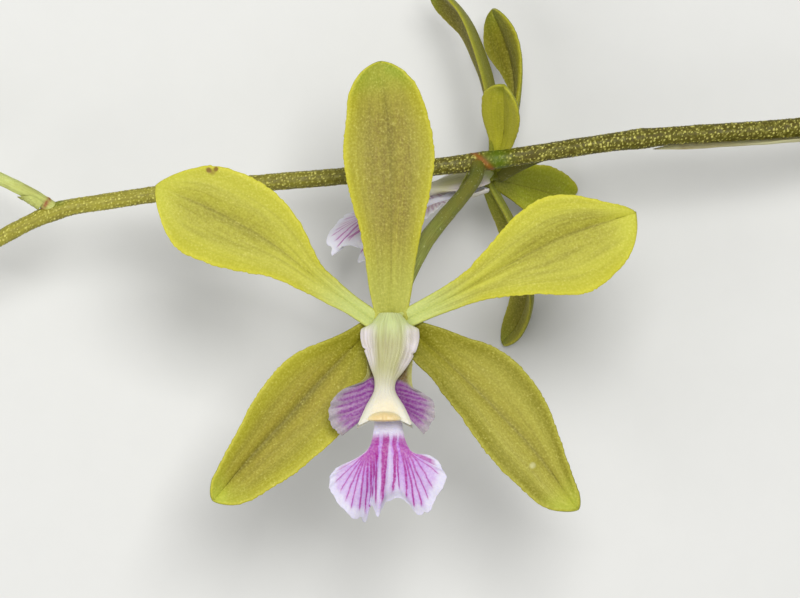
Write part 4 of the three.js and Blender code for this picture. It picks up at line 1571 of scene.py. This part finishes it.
@dataclass
class Stem(Organ):
    """The stem, warty and swollen at each node.

    Attributes:
        path: The centreline in the design frame, from the cut end to the tip.
        radius: The radius at even stations.
        nodes: Where the nodes are.
        main_node: The one that carries the front flower.
        node_length: How long a node's swelling is.
        node_swell: How much thicker it is.
        wart_pitch: The mean distance between warts.
        wart_height: How far a wart stands out.
        mean_radius: The radius that the warts are spread over.
        seed: Sets where the warts stand.
    """

    path: Sequence[Sequence[float]]
    radius: Sequence[float]
    slot: str = field(default="stem", kw_only=True)
    nodes: Sequence[float] = (0.372, 0.49, 0.811, 0.933)
    main_node: float = 0.49
    node_length: float = 0.011
    node_swell: float = 0.13
    wart_pitch: float = 0.36
    wart_height: float = 0.045
    mean_radius: float = 0.8
    seed: int = 81

    def warts(self, arc: Array, girth: Array, around: float) -> Array:
        """Round warts at scattered points of a jittered lattice, from 0 between them to 1 on top.

        Args:
            arc: The distance along the stem.
            girth: The distance round it.
            around: The stem's girth, after which the lattice repeats.

        Returns:
            The height of the nearest wart at each point.
        """
        lanes = max(int(round(around / self.wart_pitch)), 3)
        x, y = arc / self.wart_pitch, girth / around * lanes
        i, j = np.floor(x).astype(int), np.floor(y).astype(int)
        table = np.random.default_rng(self.seed).uniform(0, 1, (2048, 64, 3))
        height = np.zeros(np.broadcast(x, y).shape)
        for di in (-1, 0, 1):
            for dj in (-1, 0, 1):
                ci, cj = i + di, j + dj
                spot = table[ci % 2048, (cj % lanes) % 64]
                dx = x - (ci + 0.15 + 0.7 * spot[..., 0])
                dy = y - (cj + 0.15 + 0.7 * spot[..., 1])
                size = 0.16 + 0.2 * spot[..., 2] ** 2
                height = np.maximum(height, np.clip(1 - (dx * dx + dy * dy) / size**2, 0, 1))
        return np.sqrt(height)

    def skin(self) -> Skin:
        """The closed stem: a ring of the radius, swollen at the nodes, with warts and faint ridges.

        Returns:
            The closed surface.
        """
        rows, columns = Quality.STEM.cut()
        s = np.linspace(0, 1, rows)[:, None]
        angle = once_round(columns)
        path = Path(self.path)
        arc = s * path.length()
        swell = np.max([np.exp(-(((s - n) / self.node_length) ** 2)) for n in self.nodes], axis=0)
        radius = through(self.radius, s) * (1 + self.node_swell * swell)
        wart = self.warts(arc, angle * self.mean_radius, 2 * np.pi * self.mean_radius)
        flat_end = smooth_step(0.0, 0.003, s)
        ridge = 0.02 * np.cos(5 * angle + 0.12 * arc)
        ridge = ridge + 0.025 * wander(arc, 1.7, self.seed + 1) + 0.02 * wander(arc + 9, 0.5, self.seed + 2)
        r = radius * (1 + ridge) + self.wart_height * wart * flat_end
        left_patch = 0.7 * np.exp(-(((s - self.nodes[2] + 0.006) / 0.005) ** 2))
        left_patch = left_patch * smooth_step(0.0, 0.8, np.cos(angle))
        values = {
            "along": s,
            "around": np.sin(angle / 2) * 2,
            "wart": wart * flat_end,
            "joint": np.exp(-(((s - self.main_node + 0.0105) / 0.0095) ** 2)) + left_patch,
            "ring": np.exp(-(((s - self.main_node - 0.006 * np.cos(angle)) / 0.0026) ** 2)),
            "cut": 1 - flat_end,
        }
        return limb_skin(path, s[:, 0], angle, r, r, values)


@dataclass
class Scale(Organ):
    """A papery scale that clasps a limb and narrows to a point.

    Attributes:
        path: The limb's centreline.
        start: Where the scale's foot is along the limb.
        stop: Where its tip is.
        side: The way that it faces.
        open: How far round it reaches each way at the foot, in radians.
        clearance: Its distance from the centreline.
    """

    path: Sequence[Sequence[float]]
    start: float
    stop: float
    side: Sequence[float]
    open: float
    clearance: float
    slot: str = field(default="scale", kw_only=True)

    def skin(self) -> Skin:
        """The closed scale: an arc round the limb that closes as the cosine of its station squared.

        Returns:
            The closed surface.
        """
        rows, columns = Quality.SCALE.cut()
        s = np.linspace(0, 1, rows)[:, None]
        u = crowded(columns)[None, :]
        path = Path(self.path)
        at = self.start + (self.stop - self.start) * s[:, 0]
        forward = path.forward(at)
        out = square_to(np.asarray(self.side, float), forward)
        round_ = np.cross(out, forward)
        angle = -u * self.open * np.cos(np.pi / 2 * s**2)
        radius = self.clearance + 0.03 * wander(s * 14, 1.0, 91) + 0.02 * np.cos(u * 24)
        p = path.at(at)[:, None] + out[:, None] * (np.cos(angle) * radius)[..., None]
        p = p + round_[:, None] * (np.sin(angle) * radius)[..., None]
        thick = 0.09 * np.sqrt(np.clip(1 - np.abs(u) ** 4, 0, 1)) * (1 - 0.5 * s)
        return leaf_skin(p, thick, {"along": s, "across": u})


@dataclass
class Flower:
    """One open flower: five tepals about a hub, and a lip, a column and a cap in its middle.

    Attributes:
        centre: The hub in the design frame.
        tepals: Its sepals and petals.
        middle: Its lip, column and cap.
        middle_frame: The matrix of these three.
    """

    centre: Sequence[float]
    tepals: Sequence[Tepal]
    middle: Sequence[Organ]
    middle_frame: Array

    def build(self) -> None:
        """Makes every organ of the flower."""
        for tepal in self.tepals:
            tepal.build(flower_frame(self.centre))
        for organ in self.middle:
            organ.build(self.middle_frame)


def front_flower() -> Flower:
    """The flower that faces the viewer.

    Returns:
        The flower, ready to build.
    """
    petal_skin = TepalFinish(
        "petal_blade",
        field=srgb(172, 170, 58),
        margin=srgb(166, 163, 40),
        edge=srgb(190, 185, 54),
        claw=srgb(172, 182, 104),
        apex=srgb(176, 176, 52),
        blush=srgb(132, 126, 34),
        blush_from=(0.36, 0.6),
        blush_to=(0.82, 1.0),
        blush_half=0.62,
        blush_share=0.8,
    )
    sepal_skin = TepalFinish(
        "sepal_blade",
        field=srgb(144, 138, 38),
        margin=srgb(148, 143, 30),
        edge=srgb(172, 167, 46),
        # Dark olive foot: painted shade that the petals cast on the lateral sepals near the hub.
        claw=srgb(118, 114, 10),
        apex=srgb(163, 170, 56),
        blush=srgb(134, 120, 40),
        blush_from=(0.12, 0.35),
        blush_to=(0.75, 0.97),
        blush_half=0.7,
        blush_share=0.8,
        # Strong painted shade in the lateral sepals' deep midrib groove.
        crease=0.75,
    )
    dorsal = Tepal(
        "dorsal_sepal",
        spine=[(0.1, 0.4, 0.2), (0.1, 6, 0.6), (0.1, 12.3, 0.7), (-0.2, 17.7, 0.7), (-0.9, 22.9, 1.4)],
        left=[1.5, 2, 2.3, 2.7, 3.3, 3.9, 4.2, 4.1, 3.7, 3.3, 2.9],
        right=[1.5, 1.9, 2.2, 2.6, 3.1, 3.6, 4, 3.9, 3.5, 3, 2.5],
        tip=0.86,
        cup=[0.5, 0.3, 0.2, 0.3, 0.9],
        groove=0.12,
        finish=TepalFinish("dorsal_blade", seed=1.0),
        seed=1,
    )
    petal_left = Tepal(
        "petal_left",
        spine=[(-1.6, -0.2, 0.4), (-6.5, 3.4, 1), (-10.8, 6.7, 1.4), (-15.8, 9.5, 1.8), (-21, 11.8, 2.2)],
        face=[(0.1, 0.1, 1), (0, 0, 1), (0, 0.1, 1)],
        left=[0.9, 1, 1.4, 1.8, 2.4, 3.3, 4.1, 4.5, 4.6, 4.2, 3.6],
        right=[0.8, 0.75, 0.95, 1.3, 2.4, 3.5, 4.1, 4.2, 3.9, 3.2, 2.6],
        tip=0.8,
        cup=[0.3, 0.2, 0.3, 0.2, 0.3],
        groove=0.22,
        finish=replace(petal_skin, name="left_petal_blade", seed=2.0),
        point=0.72,
        marks=[(-15.6, 13.3, 0.22, -1), (-16.3, 13.2, 0.26, -1), (-15.9, 12.9, 0.35, -0.5)],
        seed=11,
    )
    petal_right = Tepal(
        "petal_right",
        spine=[(1.4, -0.3, 0.4), (6.1, 2.1, 1), (10.7, 4.7, 1.4), (15.8, 7.3, 1.8), (22, 9.35, 2.4)],
        face=[(-0.1, 0.1, 1), (0, 0, 1), (0.1, 0, 1)],
        left=[0.9, 1, 1.15, 1.4, 2.1, 3, 3.7, 3.9, 3.1, 1.8, 1],
        right=[0.8, 0.9, 1.2, 1.6, 2.5, 3.5, 4.8, 5.5, 5.2, 4.2, 3.2],
        tip=0.88,
        cup=[0.3, 0.2, 0.3, 0.2, 0.2],
        groove=0.22,
        finish=replace(petal_skin, name="right_petal_blade", seed=3.0, vein_share=0.36),
        seed=21,
    )
    sepal_left = Tepal(
        "lateral_sepal_left",
        spine=[
            (-1.7, -1, -0.2), (-5.6, -5, -0.7), (-9, -8.8, -0.5), (-12.4, -12.4, 0.1), (-15.9, -16.5, 0.9),
        ],
        left=[1.2, 2.2, 3.5, 4.5, 4.6, 4.4, 4.2, 3.9, 3.3, 2.6, 1.4],
        right=[0.9, 1.5, 2.4, 3.3, 3.6, 3.5, 3.2, 2.5, 2, 1.5, 0.9],
        tip=0.93,
        cup=[0.5, 0.9, 1, 0.9, 0.7],
        groove=0.3,
        finish=replace(sepal_skin, name="left_sepal_blade", seed=4.0),
        seed=31,
    )
    sepal_right = Tepal(
        "lateral_sepal_right",
        spine=[(1.7, -1, -0.2), (6, -4.9, -0.7), (9.7, -8.5, -0.5), (13.5, -12.6, 0.1), (16.9, -17.3, 0.9)],
        left=[0.9, 2, 2.9, 3.9, 4.3, 4.2, 3.7, 2.8, 1.9, 1.2, 0.7],
        right=[1.2, 1.9, 2, 2.4, 2.7, 3.1, 3.4, 3.4, 3.1, 2.6, 1.2],
        tip=0.93,
        cup=[0.5, 0.9, 1, 0.9, 0.7],
        groove=0.3,
        finish=replace(
            sepal_skin,
            name="right_sepal_blade",
            field=srgb(152, 148, 54),
            margin=srgb(120, 115, 20),
            edge=srgb(150, 146, 40),
            seed=5.0,
            blush_share=0.42,
            crease=0.35,
        ),
        marks=[(12.8, -13.5, 0.32, 1)],
        seed=41,
    )
    centre = (-0.9, -1.6, 24)
    middle = [
        Lip("lip", LipFinish("lip_skin")),
        Column("column", ColumnFinish("column_wax")),
        Cap("anther_cap", AntherFinish("cap_wax")),
    ]
    tepals = [dorsal, petal_left, petal_right, sepal_left, sepal_right]
    return Flower(centre, tepals, middle, flower_frame(centre))


def rear_flower() -> Flower:
    """The flower behind the stem, which faces left.

    Returns:
        The flower, ready to build.
    """
    # The rear tepals are darker than the front flower's: painted shade on a flower that lies behind and under
    # the stem.
    shade = TepalFinish(
        "rear_blade",
        field=srgb(122, 120, 12),
        margin=srgb(134, 130, 28),
        edge=srgb(164, 160, 40),
        claw=srgb(116, 120, 24),
        apex=srgb(116, 122, 26),
        blush=srgb(94, 84, 20),
        blush_share=0.6,
        seed=6.0,
    )
    rear = {"quality": Quality.REAR, "slot": "rear_tepal", "wave": 0.06}
    tepals = [
        Tepal(
            "rear_dorsal_sepal",
            spine=[
                (0.3, 0.7, 0.2), (0.5, 5.4, 0.8), (0.1, 8.6, 1), (-0.8, 11.6, 0.8), (-2.2, 14.7, 0.2),
                (-4.1, 16.7, -0.6), (-5.7, 18.1, -1.5),
            ],
            face=[(-1, 0, 0)],
            left=[0.9, 1.3, 1.7, 2.1, 2.6, 3, 3.2, 3, 2.6, 2.2, 1.8],
            tip=0.86,
            cup=[0.3, 0.6, 0.8, 0.7, 0.6],
            groove=0.12,
            # Darker still: painted shade on the rear dorsal sepal.
            finish=replace(
                shade, name="rear_dorsal_blade", field=srgb(104, 98, 8), margin=srgb(114, 108, 14)
            ),
            seed=51,
            **rear,
        ),
        Tepal(
            "rear_petal_far",
            spine=[
                (0.3, 0.5, -0.3), (1, 2.7, -0.8), (1.9, 5.1, -1.2), (2.4, 7.6, -1.6), (2.2, 10.1, -2),
                (1.5, 12.8, -2.5), (0.3, 16, -3.2),
            ],
            face=[(-0.8, 0, 0.6)],
            left=[0.5, 0.5, 0.5, 0.5, 0.5, 0.6, 1.1, 2, 2.5, 2.3, 1.9],
            right=[0.5, 0.6, 0.65, 0.7, 0.8, 1.2, 1.8, 2.3, 2.4, 2.1, 1.7],
            tip=0.8,
            cup=[0.2, 0.2, 0.4, 0.5, 0.5],
            groove=0.3,
            finish=replace(shade, name="rear_far_petal_blade"),
            seed=61,
            **rear,
        ),
        Tepal(
            "rear_petal_near",
            spine=[(0.4, 0.7, 0.4), (1.2, 3.6, 2.2), (1.3, 6, 5), (1.1, 8.3, 8)],
            face=[(-0.5, -0.7, 0.5)],
            left=[0.6, 0.9, 1.4, 1.9, 2.1, 2, 1.8],
            right=[0.6, 0.8, 1.2, 1.6, 1.9, 1.8, 1.6],
            tip=0.8,
            cup=[0.2, 0.5, 0.7, 0.5],
            groove=0.2,
            # Lighter than the other rear tepals: painted light on this petal, which catches more light.
            finish=replace(
                shade,
                name="rear_near_petal_blade",
                field=srgb(184, 182, 46),
                margin=srgb(178, 174, 50),
                blush_share=0.2,
            ),
            seed=71,
            **rear,
        ),
        Tepal(
            "rear_lateral_sepal_far",
            spine=[
                (0.6, -0.2, -0.6), (3, -0.6, -3.2), (5.2, -1.1, -5.4), (6.8, -1.5, -7.2), (7.7, -1.8, -8.8),
            ],
            face=[(-0.4, 0.1, 0.9)],
            left=[0.9, 1.5, 2.1, 2.4, 2.4, 2, 1.4],
            tip=0.86,
            cup=[0.2, 0.4, 0.5, 0.4],
            groove=0.2,
            finish=replace(
                shade,
                name="rear_far_sepal_blade",
                field=srgb(146, 154, 16),
                margin=srgb(150, 156, 22),
                blush_share=0.2,
            ),
            seed=81,
            **rear,
        ),
        Tepal(
            "rear_lateral_sepal_near",
            spine=[
                (-0.1, -0.5, -0.4), (0.7, -2, -0.8), (1.8, -4, -1.4), (3.3, -7.4, -3), (3.7, -10.5, -5),
                (3, -13.3, -7), (1.4, -15.6, -8.8),
            ],
            face=[(-0.9, 0, 0.4)],
            left=[0.9, 1.4, 1.9, 2.3, 2.5, 2.5, 2.2, 1.8, 1.2],
            tip=0.86,
            cup=[0.4, 0.7, 0.8, 0.6, 0.4],
            groove=0.3,
            finish=replace(shade, name="rear_near_sepal_blade"),
            seed=91,
            **rear,
        ),
    ]
    centre = (8.4, 11.3, 9)
    # The rear lip's colours are lighter than the front lip's: painted light on a lip that lies in the shade
    # of the stem and the dorsal sepal.
    skin = LipFinish(
        "rear_lip_skin",
        white=srgb(222, 220, 232),
        wash=srgb(206, 178, 214),
        vein=srgb(176, 104, 172),
        ear_white=srgb(222, 218, 222),
        ear_wash=srgb(210, 196, 204),
        faint=srgb(186, 156, 178),
        wall=srgb(198, 188, 176),
        bar=srgb(218, 212, 202),
    )
    broad_margin = (
        (2.45, -1.4, 0.7), (2.6, -2.4, 1.1), (3.0, -3.6, 1.7), (3.2, -5.2, 2.5), (3.5, -6.3, 3.0),
        (3.9, -7.0, 3.3), (4.2, -7.8, 3.5), (4.3, -8.7, 3.4), (3.9, -9.8, 3.0), (3.1, -10.6, 2.7),
    )
    middle = [
        Lip("rear_lip", skin, right_margin=broad_margin, detail=0.6),
        Column("rear_column", ColumnFinish("rear_column_wax"), detail=0.6),
        Cap("rear_anther_cap", AntherFinish("rear_cap_wax")),
    ]
    turned = flower_frame(centre, 0.9, (0.79, 0.55, -0.26), (-0.35, 0.75, 0.55))
    return Flower(centre, tepals, middle, turned)


STEM_PATH = [
    (66, 19.9, 0.9), (52, 17.9, 7), (37.2, 16, 11.9), (22.2, 14.8, 14.1), (7.7, 12.7, 15), (-4.6, 11.4, 15.1),
    (-18.4, 10.2, 14.9), (-27.7, 8.9, 14.5), (-31.8, 8.1, 14.2), (-37.1, 5.6, 13.1), (-44.5, 1.2, 9.2),
    (-50.5, -2.4, 4.6),
]
OVARY_PATH = [
    (7.2, 12.6, 15.1), (6.9, 11.1, 16.9), (5.6, 9.3, 18), (3.9, 7.3, 19.2), (2.3, 5.2, 20.4),
    (0.6, 2.1, 21.6), (-0.5, -0.4, 22.4), (-0.9, -1.7, 23.1),
]
BUD_PEDICEL_PATH = [
    (-31.9, 8.3, 14.3), (-34.5, 9.9, 14.5), (-38, 11.6, 13.9), (-42.5, 13.7, 11.3), (-46, 15.4, 7.8),
]


def limbs() -> list[Limb]:
    """The pedicels with their ovaries, and the three buds.

    Returns:
        The limbs, ready to build.
    """
    green = LimbFinish(
        "ovary_skin",
        foot=srgb(92, 98, 26),
        end=srgb(150, 158, 78),
        line=srgb(78, 78, 18),
        scar=srgb(140, 78, 26),
    )
    pale = LimbFinish(
        "pale_pedicel_skin",
        foot=srgb(196, 204, 116),
        end=srgb(210, 222, 152),
        line=srgb(160, 168, 84),
        scar=srgb(136, 60, 36),
    )
    bud = LimbFinish("bud_skin", foot=srgb(164, 174, 78), end=srgb(188, 182, 84), line=srgb(118, 124, 44))
    closed = {"slot": "bud", "seams": 3, "rib_height": 0.012}
    return [
        Limb(
            "ovary",
            green,
            OVARY_PATH,
            [0.68, 0.64, 0.66, 0.7, 0.74, 0.78, 0.85, 0.9, 0.8],
            scar=1.0,
            seed=71,
        ),
        Limb(
            "rear_ovary",
            replace(green, name="rear_ovary_skin", foot=srgb(76, 80, 14), end=srgb(98, 102, 30)),
            [(22.2, 14.6, 13.9), (18, 14.2, 12), (14, 13.5, 10.7), (11, 12.4, 9.8), (9.3, 11.6, 9.3)],
            [0.5, 0.42, 0.42, 0.5, 0.7],
            seed=72,
        ),
        Limb(
            "bud_pedicel",
            pale,
            BUD_PEDICEL_PATH,
            [0.6, 0.57, 0.54, 0.53, 0.6],
            scar=1.0,
            scar_at=0.95,
            seed=73,
        ),
        Limb(
            "bud",
            bud,
            [(-46.15, 15.5, 7.6), (-49.6, 17.2, 3.75), (-52.7, 18.8, 1.5), (-55.6, 20.3, 0.9)],
            [0.5, 1.3, 1.9, 2.2, 2.1, 1.6, 0.9, 0.3],
            ribs=18,
            seed=74,
            **closed,
        ),
        Limb(
            "tip_bud_upper",
            replace(bud, name="upper_bud_skin"),
            [(-44.5, 1.3, 9.3), (-47, 2.9, 8.8), (-50.3, 4.5, 7), (-53.2, 5.7, 5), (-56.4, 7, 3.2)],
            [0.42, 0.4, 0.4, 0.42, 0.6, 1.1, 1.45, 1.5, 1.1, 0.5, 0.2],
            ribs=15,
            seed=75,
            **closed,
        ),
        Limb(
            "tip_bud_end",
            replace(bud, name="end_bud_skin"),
            [(-50.9, -2.65, 4.2), (-53.4, -4.2, 1.5), (-56.2, -5.8, 0.6)],
            [0.4, 0.8, 1.15, 1.2, 0.9, 0.45, 0.2],
            ribs=12,
            seed=76,
            **closed,
        ),
    ]


def scales() -> list[Scale]:
    """The three papery scales.

    Returns:
        The scales, ready to build.
    """
    sheath = ScaleFinish("sheath_paper")
    dull = ScaleFinish("main_bract_paper", pale=srgb(132, 136, 58), rib=srgb(98, 94, 34))
    green = ScaleFinish("left_bract_paper", pale=srgb(186, 192, 108), rib=srgb(158, 160, 84))
    return [
        Scale("stem_sheath", sheath, STEM_PATH, 0.19, 0.362, (0, -0.8, -0.6), 1.2, 1.3),
        Scale("bract_main", dull, OVARY_PATH, 0.1, 0.24, (-0.3, 0.2, -1), 1.15, 0.84),
        Scale("bract_left", green, BUD_PEDICEL_PATH, 0.07, 0.2, (-0.2, -1, 0.2), 1.3, 0.8),
    ]


@dataclass
class Studio:
    """The floor, the lights and the camera.

    Attributes:
        camera_height: How far the camera is above the floor, in metres.
        lens: Its focal length in millimetres.
        sensor: Its sensor's width in millimetres.
        floor_half: Half the floor's side.
        floor_gap: How far the floor is below the stem's lowest point.
        aim: The point that the lights look at.
        key: Where the main light is, its power in watts and its side.
        fill: The fill light's.
        world: How bright the surroundings are.
    """

    camera_height: float = 0.425
    lens: float = 200.0
    sensor: float = 36.0
    floor_half: float = 1.2
    floor_gap: float = 0.0002
    aim: tuple[float, float, float] = (0, 0, 0.012)
    key: tuple[tuple[float, float, float], float, float] = ((0.05, 0.13, 0.5), 2.3, 0.2)
    fill: tuple[tuple[float, float, float], float, float] = ((-0.3, -0.15, 0.4), 1.2, 0.4)
    world: float = 0.3

    def camera(self) -> None:
        """A camera straight above the middle of the photographed view, with the stem level."""
        data = bpy.data.cameras.new("view")
        data.lens, data.sensor_width, data.sensor_fit = self.lens, self.sensor, "HORIZONTAL"
        data.clip_start, data.clip_end = 0.01, 20.0
        made = bpy.data.objects.new("view", data)
        made.location = (FRAME_SHIFT[0] * MM, FRAME_SHIFT[1] * MM, self.camera_height)
        bpy.context.scene.collection.objects.link(made)
        bpy.context.scene.camera = made

    def floor(self) -> None:
        """A flat square just under the stem's lowest point."""
        low = float(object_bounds()[0][2]) - self.floor_gap
        h = self.floor_half
        mesh = bpy.data.meshes.new("floor")
        mesh.from_pydata([(-h, -h, low), (h, -h, low), (h, h, low), (-h, h, low)], [], [(0, 1, 2, 3)])
        made = bpy.data.objects.new("floor", mesh)
        bpy.context.scene.collection.objects.link(made)
        made.data.materials.append(FloorFinish("pale_floor").material())
        made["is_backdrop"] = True

    def light(self, name: str, at: Sequence[float], power: float, size: float) -> None:
        """A soft square light that looks at the stem's middle.

        Args:
            name: The light's name.
            at: Where it is, in row metres.
            power: Its power in watts.
            size: Its side in metres.
        """
        data = bpy.data.lights.new(name, "AREA")
        data.energy, data.size, data.shape = power, size, "SQUARE"
        made = bpy.data.objects.new(name, data)
        made.location = at
        made.rotation_euler = (Vector(self.aim) - Vector(at)).to_track_quat("-Z", "Y").to_euler()
        bpy.context.scene.collection.objects.link(made)

    def build(self) -> None:
        """Makes the camera, the floor, the lights and the surroundings."""
        self.camera()
        self.floor()
        self.light("key", *self.key)
        self.light("fill", *self.fill)
        world = bpy.data.worlds.new("soft_room")
        world.use_nodes = True
        back = world.node_tree.nodes["Background"]
        back.inputs["Color"].default_value = (1.0, 1.0, 1.0, 1.0)
        back.inputs["Strength"].default_value = self.world
        bpy.context.scene.world = world
        bpy.context.scene.view_settings.view_transform = "Standard"


def main() -> None:
    """Builds the stem, its flowers, buds and scales, and the studio round them."""
    logging.basicConfig(level=logging.INFO, format="%(name)s: %(message)s")
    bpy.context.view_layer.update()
    Studio().build()
    stem = Stem("stem", StemFinish("stem_skin"), STEM_PATH, [0.9, 0.87, 0.85, 0.83, 0.8, 0.76, 0.7, 0.5])
    stem.build(np.eye(4))
    front_flower().build()
    rear_flower().build()
    for organ in [*limbs(), *scales()]:
        organ.build(np.eye(4))


if __name__ == "__main__":
    main()
